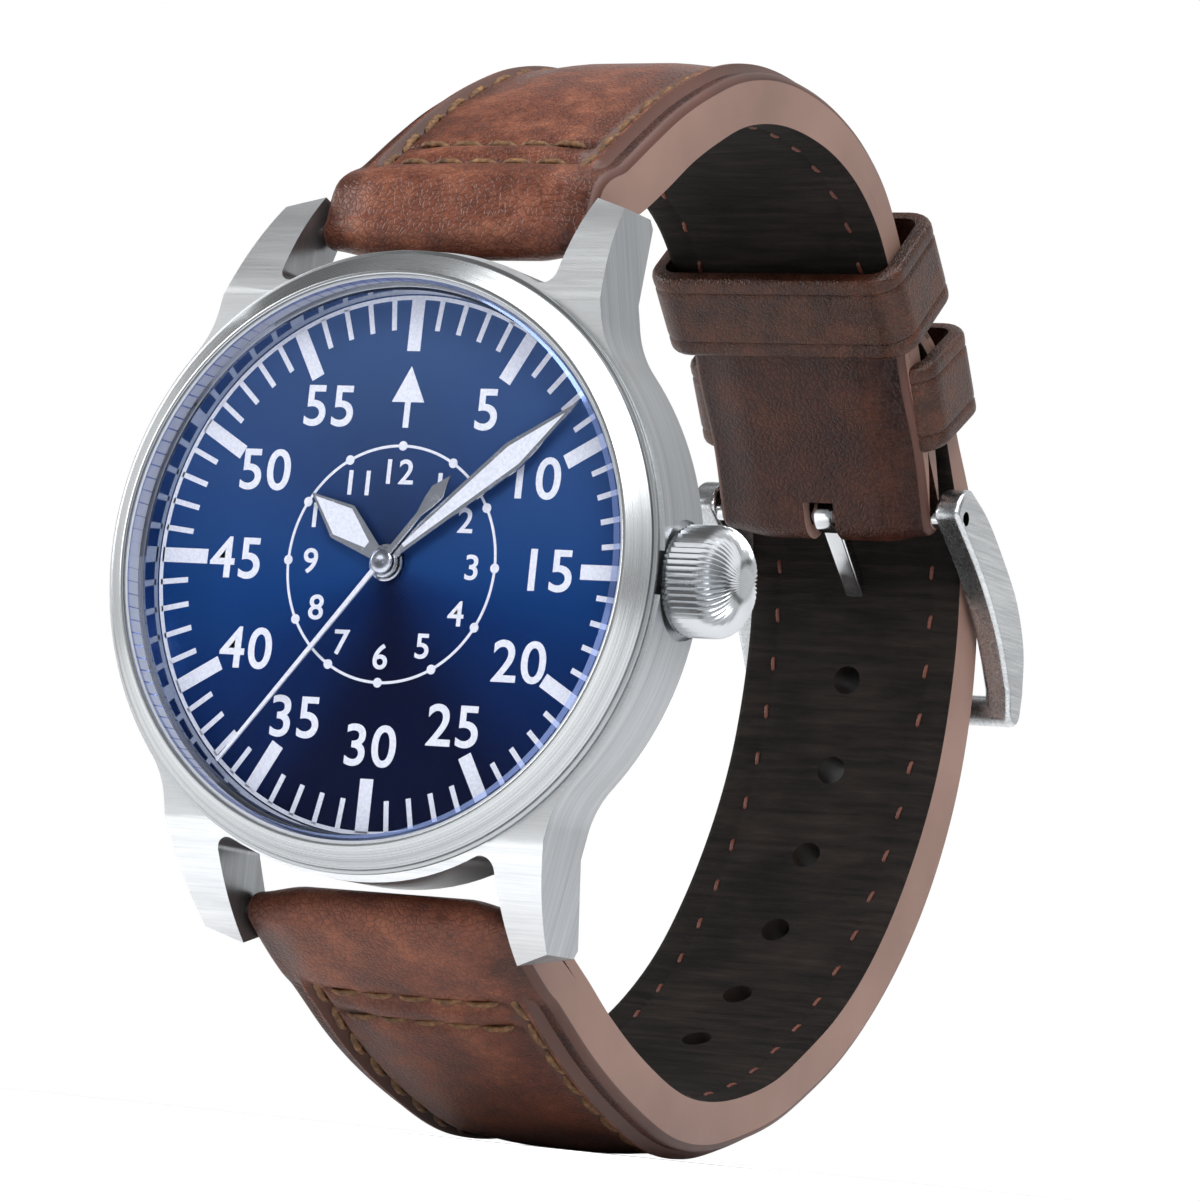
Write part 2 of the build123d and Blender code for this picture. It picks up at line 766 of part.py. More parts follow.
# Pallet fork, balance wheel and hairspring
fork_line = degrees(atan2(balance_place[1] - escape_place[1], balance_place[0] - escape_place[0]))
fork_length = 1.75
fork_spread = 0.9
fork_horn = 0.28
fork_neck = 0.2
fork_notch = 0.12
with BuildPart() as pallet_fork:
    with BuildSketch(
        Plane(
            origin=(fork_place[0], plate_rear + third_depth + wheel_thickness, fork_place[1]),
            x_dir=(cos(radians(fork_line)), 0, sin(radians(fork_line))),
            z_dir=(0, -1, 0),
        )
    ):
        with BuildLine():
            Polyline(
                (-fork_neck * 7 / 4, -fork_spread), (-fork_neck * 3 / 4, -fork_spread), (fork_neck / 2, -fork_neck),
                (fork_length - fork_neck, -fork_notch), (fork_length, -fork_horn), (fork_length, -fork_notch),
                (fork_length - fork_notch, 0), (fork_length, fork_notch), (fork_length, fork_horn),
                (fork_length - fork_neck, fork_notch), (fork_neck / 2, fork_neck),
                (-fork_neck * 3 / 4, fork_spread), (-fork_neck * 7 / 4, fork_spread), (-fork_neck * 5 / 4, 0),
                close=True,
            )
        make_face()
    extrude(amount=wheel_thickness)
    with BuildSketch(front_plane(plate_rear + third_depth + wheel_thickness, fork_place)):
        Circle(fork_neck)
    extrude(amount=third_depth + wheel_thickness - seat_gap)
    with BuildSketch(front_plane(plate_rear + third_depth + wheel_thickness, fork_place)):
        Circle(pivot_radius)
    extrude(amount=third_depth + wheel_thickness + pivot_length)
finish(pallet_fork.part, "pallet_fork")

balance_depth = 1.5
balance_rim = 0.45
balance_thickness = 0.3
balance_arm = 0.5
with BuildPart() as balance_wheel:
    with BuildSketch(front_plane(plate_rear + balance_depth + balance_thickness, balance_place)):
        Circle(balance_radius)
        Circle(balance_radius - balance_rim, mode=Mode.SUBTRACT)
        Rectangle(2 * (balance_radius - balance_rim / 2), balance_arm)
        Rectangle(balance_arm, 2 * (balance_radius - balance_rim / 2))
    extrude(amount=balance_thickness)
    with BuildSketch(front_plane(bridge_front - seat_gap, balance_place)):
        Circle(arbor_radius)
    extrude(amount=train_height - 2 * seat_gap)
    with BuildSketch(front_plane(bridge_front + pivot_length, balance_place)):
        Circle(pivot_radius)
    extrude(amount=train_height + 2 * pivot_length)
finish(balance_wheel.part, "balance_wheel")

hairspring_radius = 1.7
hairspring_gap = 0.1
hairspring_strip = 0.06
hairspring_height = 0.12
hairspring_turns = 6
with BuildPart() as hairspring:
    with BuildSketch(front_plane(bridge_front - running_gap, balance_place)):
        with BuildLine():
            Polyline(*spiral_band(arbor_radius + hairspring_gap, hairspring_radius, hairspring_turns, hairspring_strip), close=True)
        make_face()
    extrude(amount=hairspring_height)
finish(hairspring.part, "hairspring")

# Motion works under the dial: cannon pinion, minute wheel and hour wheel
motion_rear = plate_front - running_gap
cannon_height = 0.25
hour_wheel_thickness = 0.2
minute_wheel_lift = 0.05
minute_pinion_height = 0.38
with BuildPart() as cannon_pinion:
    with BuildSketch(front_plane(motion_rear)):
        with BuildLine():
            Polyline(
                *toothed_outline(cannon_teeth, cannon_module, facing_phase(cannon_teeth, motion_angle)),
                close=True,
            )
        make_face()
    extrude(amount=cannon_height)
    with BuildSketch(front_plane(motion_rear)):
        Circle(cannon_radius)
    extrude(amount=motion_rear - (dial_front - minute_hand_height - hand_thickness))
    with BuildSketch(front_plane(motion_rear)):
        Circle(cannon_bore)
    extrude(amount=plate_rear - centre_front, mode=Mode.SUBTRACT)
finish(cannon_pinion.part, "cannon_pinion")

hour_wheel_rear = motion_rear - cannon_height - arbor_stand
with BuildPart() as hour_wheel:
    with BuildSketch(front_plane(hour_wheel_rear)):
        with BuildLine():
            Polyline(
                *toothed_outline(hour_wheel_teeth, hour_module, facing_phase(hour_wheel_teeth, motion_angle)),
                close=True,
            )
        make_face()
    extrude(amount=hour_wheel_thickness)
    with BuildSketch(front_plane(hour_wheel_rear)):
        Circle(hour_pipe_radius)
    extrude(amount=hour_wheel_rear - (dial_front - hour_hand_height - hand_thickness))
    with BuildSketch(front_plane(hour_wheel_rear)):
        Circle(cannon_radius + running_gap)
    extrude(amount=case_height, mode=Mode.SUBTRACT)
finish(hour_wheel.part, "hour_wheel")

motion_post_radius = 0.25
with BuildPart() as minute_wheel:
    with BuildSketch(front_plane(motion_rear - minute_wheel_lift, motion_place)):
        with BuildLine():
            Polyline(
                *toothed_outline(minute_wheel_teeth, cannon_module,
                                 facing_phase(minute_wheel_teeth, motion_angle + 180, gap=True)),
                close=True,
            )
        make_face()
    extrude(amount=wheel_thickness)
    with BuildSketch(front_plane(motion_rear - minute_wheel_lift - wheel_thickness, motion_place)):
        with BuildLine():
            Polyline(
                *toothed_outline(minute_pinion_teeth, hour_module,
                                 facing_phase(minute_pinion_teeth, motion_angle + 180, gap=True)),
                close=True,
            )
        make_face()
    extrude(amount=minute_pinion_height)
    with BuildSketch(front_plane(plate_front, motion_place)):
        Circle(motion_post_radius + running_gap)
    extrude(amount=plate_front - dial_rear, mode=Mode.SUBTRACT)
finish(minute_wheel.part, "minute_wheel")

with BuildPart() as minute_wheel_post:
    with BuildSketch(front_plane(plate_front, motion_place)):
        Circle(motion_post_radius)
    extrude(amount=plate_front - dial_rear - 2 * running_gap)
finish(minute_wheel_post.part, "minute_wheel_post")

# Winding rotor on its bearing
rotor_back_room = 0.75
rotor_rear = back_inner - rotor_back_room
rotor_thickness = 0.25
bearing_stand = 0.15
rotor_hub_width = 1.2
rotor_window_share = (0.45, 0.2)
rotor_radius = 12.3
rotor_rim = 1.6
rotor_rim_drop = 0.15
bearing_radius = 1.4
with BuildPart() as rotor_bearing:
    with BuildSketch(front_plane(rotor_rear + bearing_stand)):
        Circle(bearing_radius)
        Circle(jewel_radius, mode=Mode.SUBTRACT)
    extrude(amount=rotor_rear + bearing_stand - bridge_rear)
finish(rotor_bearing.part, "rotor_bearing")

with BuildPart() as winding_rotor:
    with BuildSketch(front_plane(rotor_rear)):
        Circle(rotor_radius)
        with Locations((0, rotor_radius)):
            Rectangle(4 * rotor_radius, 2 * rotor_radius, mode=Mode.SUBTRACT)
        Circle(bearing_radius + rotor_hub_width)
        with Locations((0, -rotor_radius * rotor_window_share[0])):
            Circle(rotor_radius * rotor_window_share[1], mode=Mode.SUBTRACT)
        Circle(bearing_radius + running_gap, mode=Mode.SUBTRACT)
    extrude(amount=rotor_thickness)
    with BuildSketch(front_plane(rotor_rear + rotor_rim_drop)):
        Circle(rotor_radius)
        Circle(rotor_radius - rotor_rim, mode=Mode.SUBTRACT)
        with Locations((0, rotor_radius)):
            Rectangle(4 * rotor_radius, 2 * rotor_radius, mode=Mode.SUBTRACT)
    extrude(amount=rotor_rim_drop)
finish(winding_rotor.part, "winding_rotor")

# Movement screws: slotted heads over the bridge pillars
screw_radius = 0.5
screw_height = 0.18
screw_slot = 0.16
with BuildPart() as bridge_screws:
    with BuildSketch(front_plane(bridge_rear + screw_height)):
        with Locations(*(barrel_pillars + train_pillars + cock_pillars)):
            Circle(screw_radius)
            Rectangle(3 * screw_radius, screw_slot, mode=Mode.SUBTRACT)
    extrude(amount=screw_height / 2)
    with BuildSketch(front_plane(bridge_rear + screw_height / 2)):
        with Locations(*(barrel_pillars + train_pillars + cock_pillars)):
            Circle(screw_radius)
    extrude(amount=screw_height / 2)
finish(bridge_screws.part, "bridge_screws")

# Hands, at about eight and a half minutes past ten. Angles run clockwise from 12.
hour_angle, minute_angle, second_angle = 305.7, 50.6, 218.4
hour_length, minute_length = 7.2, 16.1
hour_width, minute_width = 2.5, 1.85
hour_root_width, minute_root_width = 0.9, 0.6
hand_border = 0.2
hand_solid_root = 0.9
hand_root_share = 0.8
lume_share = 0.8
hour_widest_share, minute_widest_share = 0.58, 0.67
needle_length, counterweight_length = 16.4, 6.9
hour_hub_radius, minute_hub_radius = 1.15, 0.95


def hand_plane(height, angle):
    """Plane on a hand's rear face: its X axis runs along the hand."""
    turn = radians(90 - angle)
    return Plane(origin=(0, dial_front - height, 0), x_dir=(cos(turn), 0, sin(turn)), z_dir=(0, -1, 0))


def make_hand(label, height, angle, length, widest_share, width, base_width, hub_radius, bore):
    """A lance-shaped frame with an open window for its lume, and the lume that fills the window."""
    border = hand_border
    widest = length * widest_share
    start = hub_radius * hand_root_share
    window_start = start + hand_solid_root
    outline = ((start, base_width / 2), (widest, width / 2), (length, 0), (widest, -width / 2),
               (start, -base_width / 2))
    window = ((window_start, (base_width - hand_border) / 3), (widest, width / 2 - border),
              (length - border * length / width / 2, 0), (widest, border - width / 2),
              (window_start, -(base_width - hand_border) / 3))
    with BuildPart() as hand:
        with BuildSketch(hand_plane(height, angle)):
            with BuildLine():
                Polyline(*outline, close=True)
            make_face()
            Circle(hub_radius)
            Circle(bore, mode=Mode.SUBTRACT)
            with BuildLine():
                Polyline(*window, close=True)
            make_face(mode=Mode.SUBTRACT)
        extrude(amount=hand_thickness)
    finish(hand.part, label)
    with BuildPart() as lume:
        with BuildSketch(hand_plane(height, angle)):
            with BuildLine():
                Polyline(*window, close=True)
            make_face()
        extrude(amount=hand_thickness * lume_share)
    finish(lume.part, label.replace("hand", "lume"))


make_hand(
    "hour_hand", hour_hand_height, hour_angle, hour_length, hour_widest_share, hour_width, hour_root_width,
    hour_hub_radius, hour_pipe_radius,
)
make_hand(
    "minute_hand", minute_hand_height, minute_angle, minute_length, minute_widest_share, minute_width,
    minute_root_width, minute_hub_radius, cannon_radius,
)

needle_width = 0.3
leaf_width = 1.05
leaf_root_share = 0.6
leaf_widest_share = 0.82
with BuildPart() as second_hand:
    with BuildSketch(hand_plane(second_hand_height, second_angle)):
        with BuildLine():
            Polyline(
                (0, needle_width / 2), (needle_length, needle_width / 3), (needle_length, -needle_width / 3),
                (0, -needle_width / 2), (-counterweight_length * leaf_root_share, -needle_width / 2),
                (-counterweight_length * leaf_widest_share, -leaf_width / 2), (-counterweight_length, 0),
                (-counterweight_length * leaf_widest_share, leaf_width / 2), (-counterweight_length * leaf_root_share, needle_width / 2),
                close=True,
            )
        make_face()
        Circle(cap_radius)
        Circle(fourth_arbor_radius, mode=Mode.SUBTRACT)
    extrude(amount=hand_thickness)
    with BuildSketch(hand_plane(second_hand_height + hand_thickness, second_angle)):
        Circle(cap_radius)
        Circle(fourth_arbor_radius, mode=Mode.SUBTRACT)
    extrude(amount=cap_height - hand_thickness)
finish(second_hand.part, "second_hand")
# Spring bars: a rod between the lugs with a thin tip at each end
bar_shoulder_gap = 0.15
bar_tip_gap = 0.2
with BuildPart() as spring_bars:
    for side in (1, -1):
        with BuildSketch(Plane(origin=(0, -bar_depth, side * bar_reach), z_dir=(1, 0, 0))):
            Circle(bar_radius)
        extrude(amount=lug_inner - bar_shoulder_gap, both=True)
        with BuildSketch(Plane(origin=(0, -bar_depth, side * bar_reach), z_dir=(1, 0, 0))):
            Circle(bar_tip_radius)
        extrude(amount=lug_inner + bar_hole_depth - bar_tip_gap, both=True)
finish(spring_bars.part, "spring_bars")

# Strap loop, seen from the crown: its rows lie on rays from one centre inside the wrist.
# Each row is (angle, inner radius share, leather thickness share, half width share).
loop_depth_share = 31 / 36
loop_rise_share = 1 / 18
loop_depth = loop_radius * loop_depth_share - bar_depth
loop_rise = loop_radius * loop_rise_share
strap_side_gap = 0.12
half_strap = lug_inner - strap_side_gap
end_wrap_radius = 1.7
wrap_leather = 2.4
short_row_shares = (
    (144.0, 0.967, 0.930, 1.0),
    (139.2, 0.935, 0.990, 1.0),
    (132.8, 0.916, 1.017, 1.0),
    (125.6, 0.912, 0.980, 0.995),
    (119.0, 0.911, 0.945, 0.99),
    (112.0, 0.914, 0.905, 0.98),
    (104.4, 0.909, 0.890, 0.97),
    (93.5, 0.896, 0.860, 0.95),
    (85.7, 0.887, 0.830, 0.935),
    (77.5, 0.874, 0.830, 0.915),
    (69.9, 0.856, 0.840, 0.89),
    (60.0, 0.811, 0.810, 0.87),
    (54.0, 0.781, 0.800, 0.865),
    (47.0, 0.755, 0.780, 0.86),
    (34.0, 0.747, 0.640, 0.86),
    (23.06, 0.744, 0.450, 0.86),
)
long_row_shares = (
    (-138.0, 0.984, 0.930, 1.0),
    (-132.0, 0.947, 1.000, 1.0),
    (-124.0, 0.929, 0.970, 1.0),
    (-113.0, 0.915, 0.920, 0.99),
    (-101.0, 0.909, 0.900, 0.97),
    (-93.0, 0.896, 0.880, 0.94),
    (-84.8, 0.882, 0.820, 0.915),
    (-75.2, 0.868, 0.820, 0.90),
    (-66.0, 0.854, 0.870, 0.88),
    (-55.5, 0.850, 0.920, 0.87),
    (-46.0, 0.848, 0.980, 0.863),
    (-36.0, 0.845, 1.080, 0.863),
    (-28.0, 0.846, 1.150, 0.863),
    (-12.0, 0.857, 1.180, 0.863),
    (-3.0, 0.862, 1.160, 0.863),
    (6.0, 0.870, 1.060, 0.863),
    (14.0, 0.876, 0.920, 0.863),
    (22.0, 0.874, 0.780, 0.86),
    (30.0, 0.867, 0.611, 0.85),
    (40.0, 0.861, 0.528, 0.85),
    (46.0, 0.870, 0.444, 0.81),
    (52.5, 0.889, 0.306, 0.53),
)
flap_row_shares = (
    (57.0, 0.786, 0.36, 0.86),
    (47.0, 0.731, 0.53, 0.86),
    (34.0, 0.722, 0.53, 0.86),
    (23.06, 0.733, 0.42, 0.86),
)
smoothing_steps = 2


def loop_point(angle, radius):
    return (0, loop_depth + radius * cos(radians(angle)), loop_rise + radius * sin(radians(angle)))


def loop_plane(angle, radius, tilt=0):
    """Plane across the strap: local X is the strap's width, local Y points out from the wrist."""
    turn = radians(angle + tilt)
    return Plane(origin=loop_point(angle, radius), x_dir=(1, 0, 0), z_dir=(0, -sin(turn), cos(turn)))


def bar_row(side):
    """The strap's first row, at its spring bar: (angle, split radius, outer radius, half width)."""
    rise = side * bar_reach - loop_rise
    depth = bar_depth + loop_depth
    outer = hypot(rise, depth) + end_wrap_radius
    return (degrees(atan2(rise, -depth)), outer - wrap_leather, outer, half_strap)


def rows_in_mm(shares, base):
    """Turns rows of shares into (angle, split radius, outer radius, half width) above a base thickness."""
    rows = []
    for angle, inner_share, leather_share, width_share in shares:
        split_radius = loop_radius * inner_share + base
        outer = split_radius + leather_thickness * leather_share
        rows.append((angle, split_radius, outer, half_strap * width_share))
    return rows


def smooth_rows(rows):
    """Rows on a smooth curve through the given rows (Catmull-Rom), with steps between each two."""
    guide = [rows[0], *rows, rows[-1]]
    found = []
    for first in range(len(rows) - 1):
        for step in range(smoothing_steps):
            t = step / smoothing_steps
            found.append(
                tuple(
                    (2 * b + (c - a) * t + (2 * a - 5 * b + 4 * c - d) * t**2 + (3 * b - a - 3 * c + d) * t**3) / 2
                    for a, b, c, d in zip(*guide[first : first + 4])
                )
            )
    return found + [rows[-1]]


def row_at(rows, angle):
    """The row at an angle, between the two rows on either side of it."""
    for low, high in zip(rows, rows[1:]):
        if min(low[0], high[0]) <= angle <= max(low[0], high[0]):
            share = (angle - low[0]) / (high[0] - low[0])
            return tuple(a + (b - a) * share for a, b in zip(low, high))
    return rows[-1]


short_rows = smooth_rows([bar_row(1), *rows_in_mm(short_row_shares, lining_thickness)])
long_rows = smooth_rows([bar_row(-1), *rows_in_mm(long_row_shares, lining_thickness)])
flap_rows = smooth_rows(rows_in_mm(flap_row_shares, 0))


def loft_leather(rows):
    """The outer leather between its split and outer radii."""
    with BuildPart() as layer:
        for angle, split_radius, outer, half_width in rows:
            with BuildSketch(loop_plane(angle, (split_radius + outer) / 2)):
                Rectangle(2 * half_width, outer - split_radius)
        loft(ruled=True)
    return layer.part


def loft_lining(rows):
    """The lining, glued to the split face of the outer leather."""
    with BuildPart() as layer:
        for angle, split_radius, outer, half_width in rows:
            with BuildSketch(loop_plane(angle, split_radius - lining_thickness / 2)):
                Rectangle(2 * half_width, lining_thickness)
        loft(ruled=True)
    return layer.part


def cross_rod(place, radius, half_length):
    """A round rod across the strap, centred on a (y, z) place."""
    with BuildPart() as rod:
        with BuildSketch(Plane(origin=(0, *place), x_dir=(0, 1, 0), z_dir=(1, 0, 0))):
            Circle(radius)
        extrude(amount=half_length, both=True)
    return rod.part


# 12 o'clock strap: its outer leather wraps the spring bar and folds back round the buckle bar
buckle_bar_radius = 0.75
buckle_bar_angle = 23.06
buckle_bar_orbit_share = 0.7728
buckle_bar_point = loop_point(buckle_bar_angle, loop_radius * buckle_bar_orbit_share)
bar_y, bar_z = buckle_bar_point[1:]
fold_radius = 1.8
fold_half_width = half_strap * flap_row_shares[-1][-1]
tongue_width = 1.5
tongue_slot_width = 2.4
keeper_wall = 1.1
keeper_length = 6.5
keeper_hole_share = 0.895
keeper_half_hole = half_strap * keeper_hole_share
keeper_corner = 0.6
keeper_outer_corner = 2.2
fixed_keeper_angle, fixed_keeper_tilt = 40.0, -5.0
free_keeper_angle, free_keeper_tilt = 57.0, -13.0
keeper_orbit_share = 0.8583
keeper_orbit = loop_radius * keeper_orbit_share
fixed_keeper_low, fixed_keeper_high = 2.95, 3.6
free_keeper_low, free_keeper_high = 3.4, 3.95


def keeper_box(angle, tilt, low, high, half_width, length, corner):
    """A rounded block across the strap, from low inside the keeper's centre to high outside it."""
    with BuildPart() as block:
        with BuildSketch(loop_plane(angle, keeper_orbit, tilt)):
            with Locations((0, (high - low) / 2)):
                RectangleRounded(2 * half_width, low + high, corner)
        extrude(amount=length / 2, both=True)
    return block.part


short_layer = loft_leather(short_rows)
flap_layer = loft_leather(flap_rows)
keeper_channel = keeper_box(
    fixed_keeper_angle,
    fixed_keeper_tilt,
    fixed_keeper_low + keeper_wall + seat_gap,
    seat_gap - fixed_keeper_low,
    half_strap,
    keeper_length + 2 * seat_gap,
    keeper_wall / 4,
)
short_wrap = cross_rod((-bar_depth, bar_reach), end_wrap_radius, half_strap)
short_bore = cross_rod((-bar_depth, bar_reach), bar_radius + seat_gap, lug_gap)
fold = cross_rod((bar_y, bar_z), fold_radius, fold_half_width)
fold_bore = cross_rod((bar_y, bar_z), buckle_bar_radius + 2 * running_gap, lug_gap)
tongue_slot = cross_rod((bar_y, bar_z), fold_radius + buckle_bar_radius / 2, tongue_slot_width / 2)
with BuildPart() as strap_short_outer:
    add(short_layer)
    add(flap_layer)
    add(short_wrap)
    add(fold)
    add(short_bore, mode=Mode.SUBTRACT)
    add(fold_bore, mode=Mode.SUBTRACT)
    add(tongue_slot, mode=Mode.SUBTRACT)
    add(keeper_channel, mode=Mode.SUBTRACT)
finish(strap_short_outer.part, "strap_short_outer")

# Its lining stops short of the wrapped end and of the fold
short_lining_end = 57.5
short_lining_layer = loft_lining(short_rows)
with BuildPart() as strap_short_lining:
    add(short_lining_layer)
    split(bisect_by=loop_plane(short_lining_end, loop_radius), keep=Keep.TOP)
    add(short_wrap, mode=Mode.SUBTRACT)
finish(strap_short_lining.part, "strap_short_lining")

# 6 o'clock strap: a row of holes; the tongue passes through the one nearest its tip
hole_radius = 1.05
hole_angles = (-0.9, -13.6, -26.7, -39.7, -53.0, -65.4)
hole_start_share = 0.8
crosspiece_radius = 1.1
crosspiece_gap = 0.3
crosspiece_angle = -2.3
crosspiece_orbit = row_at(long_rows, crosspiece_angle)[2] + crosspiece_gap + crosspiece_radius
cross_y, cross_z = loop_point(crosspiece_angle, crosspiece_orbit)[1:]
tongue_height = 1.1
span = hypot(cross_y - bar_y, cross_z - bar_z)
span_angle = degrees(atan2(cross_z - bar_z, cross_y - bar_y))
lift = crosspiece_radius + tongue_height / 2 + running_gap
tongue_line = span_angle + degrees(atan2(lift, (span**2 - lift**2) ** 0.5))
tongue_end = 0.8
tongue_length = span + tongue_end
slot_swing = 7.0
slot_gap = 0.25
slot_share = (0.28, 0.91)
tongue_plane = Plane(
    origin=buckle_bar_point,
    x_dir=(0, cos(radians(tongue_line)), sin(radians(tongue_line))),
    z_dir=(1, 0, 0),
)
slot_near, slot_far = (span * share for share in slot_share)
slot_floor = tongue_height / 2 + slot_gap


def strap_cuts():
    """Everything that passes through the 6 o'clock strap: its holes and the tongue's slot."""
    with BuildPart() as cuts:
        for angle in hole_angles:
            turn = radians(angle)
            hole_place = loop_point(angle, loop_radius * hole_start_share)
            with BuildSketch(Plane(origin=hole_place, x_dir=(1, 0, 0), z_dir=(0, cos(turn), sin(turn)))):
                Circle(hole_radius)
            extrude(amount=loop_radius * (1 - hole_start_share) + 2 * overrun)
        with BuildSketch(tongue_plane):
            with BuildLine():
                Polyline(
                    (slot_near, -slot_floor),
                    (slot_far, -slot_floor),
                    (slot_far, slot_floor + slot_far * sin(radians(slot_swing))),
                    (slot_near, slot_floor + slot_near * sin(radians(slot_swing))),
                    close=True,
                )
            make_face()
        extrude(amount=tongue_width / 2 + slot_gap, both=True)
    return cuts.part


long_cuts = strap_cuts()
long_layer = loft_leather(long_rows)
long_wrap = cross_rod((-bar_depth, -bar_reach), end_wrap_radius, half_strap)
long_bore = cross_rod((-bar_depth, -bar_reach), bar_radius + seat_gap, lug_gap)
with BuildPart() as strap_long_outer:
    add(long_layer)
    add(long_wrap)
    add(long_bore, mode=Mode.SUBTRACT)
    add(long_cuts, mode=Mode.SUBTRACT)
finish(strap_long_outer.part, "strap_long_outer")

long_lining_layer = loft_lining(long_rows)
with BuildPart() as strap_long_lining:
    add(long_lining_layer)
    add(long_wrap, mode=Mode.SUBTRACT)
    add(long_cuts, mode=Mode.SUBTRACT)
finish(strap_long_lining.part, "strap_long_lining")


def make_keeper(label, angle, tilt, low, high):
    """A leather loop round the strap, with a rounded rectangular hole."""
    half_width = keeper_half_hole + keeper_wall
    body = keeper_box(
        angle, tilt, low + keeper_wall, high + keeper_wall, half_width, keeper_length, keeper_outer_corner
    )
    hole = keeper_box(angle, tilt, low, high, keeper_half_hole, keeper_length + 2 * overrun, keeper_corner)
    with BuildPart() as keeper:
        add(body)
        add(hole, mode=Mode.SUBTRACT)
    return finish(keeper.part, label)


make_keeper("fixed_keeper", fixed_keeper_angle, fixed_keeper_tilt, fixed_keeper_low, fixed_keeper_high)
make_keeper("free_keeper", free_keeper_angle, free_keeper_tilt, free_keeper_low, free_keeper_high)

# Buckle frame: two curved arms joined by a round crosspiece. The arms' points lie along the line
# from bar to crosspiece: (share of that span, share of the bow out from it).
arm_inner = 8.75
arm_width = 2.0
arm_bow = 3.0
arm_inner_shares = ((-0.054, -0.356), (0.312, 0.071), (0.629, 0.165), (0.883, -0.052))
arm_outer_shares = ((-0.061, 0.704), (0.132, 1.143), (0.36, 1.395), (0.609, 1.531), (0.829, 1.264), (0.987, 0.639))
arm_end_share = (-0.093, 0.183)
span_direction = (cos(radians(span_angle)), sin(radians(span_angle)))
bow_direction = (-span_direction[1], span_direction[0])


def arm_point(shares):
    along, out = span * shares[0], arm_bow * shares[1]
    return (
        bar_y + span_direction[0] * along + bow_direction[0] * out,
        bar_z + span_direction[1] * along + bow_direction[1] * out,
    )


arm_inner_edge = [arm_point(shares) for shares in arm_inner_shares]
arm_outer_edge = [arm_point(shares) for shares in arm_outer_shares]
with BuildPart() as buckle_frame:
    with BuildSketch(Plane(origin=(arm_inner, 0, 0), x_dir=(0, 1, 0), z_dir=(1, 0, 0))):
        with BuildLine():
            Spline(*arm_inner_edge)
            Line(arm_inner_edge[-1], (cross_y - crosspiece_radius, cross_z))
            ThreePointArc(
                (cross_y - crosspiece_radius, cross_z),
                (cross_y, cross_z - crosspiece_radius),
                (cross_y + crosspiece_radius, cross_z),
            )
            Line((cross_y + crosspiece_radius, cross_z), arm_outer_edge[-1])
            Spline(*reversed(arm_outer_edge))
            ThreePointArc(arm_outer_edge[0], arm_point(arm_end_share), arm_inner_edge[0])
        make_face()
        with Locations((bar_y, bar_z)):
            Circle(buckle_bar_radius, mode=Mode.SUBTRACT)
    extrude(amount=arm_width)
    mirror(about=Plane.YZ)
    with BuildSketch(Plane(origin=(0, cross_y, cross_z), x_dir=(0, 1, 0), z_dir=(1, 0, 0))):
        Circle(crosspiece_radius)
    extrude(amount=arm_inner + arm_width, both=True)
finish(buckle_frame.part, "buckle_frame")

finish(cross_rod((bar_y, bar_z), buckle_bar_radius, arm_inner + arm_width), "buckle_bar")

# Tongue: a ring that turns on the buckle bar, and a rod that rests on the crosspiece
tongue_ring_radius = 1.35
tongue_half = tongue_height / 2
with BuildPart() as buckle_tongue:
    with BuildSketch(tongue_plane):
        Circle(tongue_ring_radius)
        with BuildLine():
            Line((0, tongue_half), (tongue_length - tongue_half, tongue_half))
            ThreePointArc(
                (tongue_length - tongue_half, tongue_half),
                (tongue_length, 0),
                (tongue_length - tongue_half, -tongue_half),
            )
            Polyline((tongue_length - tongue_half, -tongue_half), (0, -tongue_half), (0, tongue_half))
        make_face()
        Circle(buckle_bar_radius + running_gap, mode=Mode.SUBTRACT)
    extrude(amount=tongue_width / 2, both=True)
finish(buckle_tongue.part, "buckle_tongue")
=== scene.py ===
from math import atan2, cos, degrees, hypot, pi, radians, sin

import bpy
from mathutils import Matrix, Vector


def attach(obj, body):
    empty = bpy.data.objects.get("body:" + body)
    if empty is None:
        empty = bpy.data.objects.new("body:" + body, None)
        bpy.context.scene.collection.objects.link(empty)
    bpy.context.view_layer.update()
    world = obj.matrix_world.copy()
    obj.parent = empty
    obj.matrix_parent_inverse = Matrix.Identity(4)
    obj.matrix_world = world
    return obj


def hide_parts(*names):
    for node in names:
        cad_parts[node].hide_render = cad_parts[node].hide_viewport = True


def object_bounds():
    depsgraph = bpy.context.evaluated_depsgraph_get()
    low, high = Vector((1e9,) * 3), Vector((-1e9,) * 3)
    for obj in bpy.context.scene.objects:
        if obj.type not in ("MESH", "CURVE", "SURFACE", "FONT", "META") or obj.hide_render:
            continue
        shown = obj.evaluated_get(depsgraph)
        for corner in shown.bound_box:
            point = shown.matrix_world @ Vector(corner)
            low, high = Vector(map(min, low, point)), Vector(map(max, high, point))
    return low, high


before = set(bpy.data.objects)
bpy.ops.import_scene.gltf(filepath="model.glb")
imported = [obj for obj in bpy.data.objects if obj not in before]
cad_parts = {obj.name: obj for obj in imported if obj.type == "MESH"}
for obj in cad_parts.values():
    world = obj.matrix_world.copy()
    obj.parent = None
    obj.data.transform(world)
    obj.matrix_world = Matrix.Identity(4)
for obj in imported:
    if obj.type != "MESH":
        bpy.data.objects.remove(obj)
cad_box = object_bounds()

# Studio: a sheet of white paper under the strap, a white surround and three softboxes.
# The watch stands upright on the lowest turn of its strap, as it does on a display loop.
# Every size below is in mm and meets MM where it becomes a Blender length.
MM = 0.001
TABLE_WIDTH = 900 * MM
CAMERA_PLACE = (156.81 * MM, -269.2 * MM, -34.19 * MM)
CAMERA_TURN = (96.255, -5.922, 27.772)


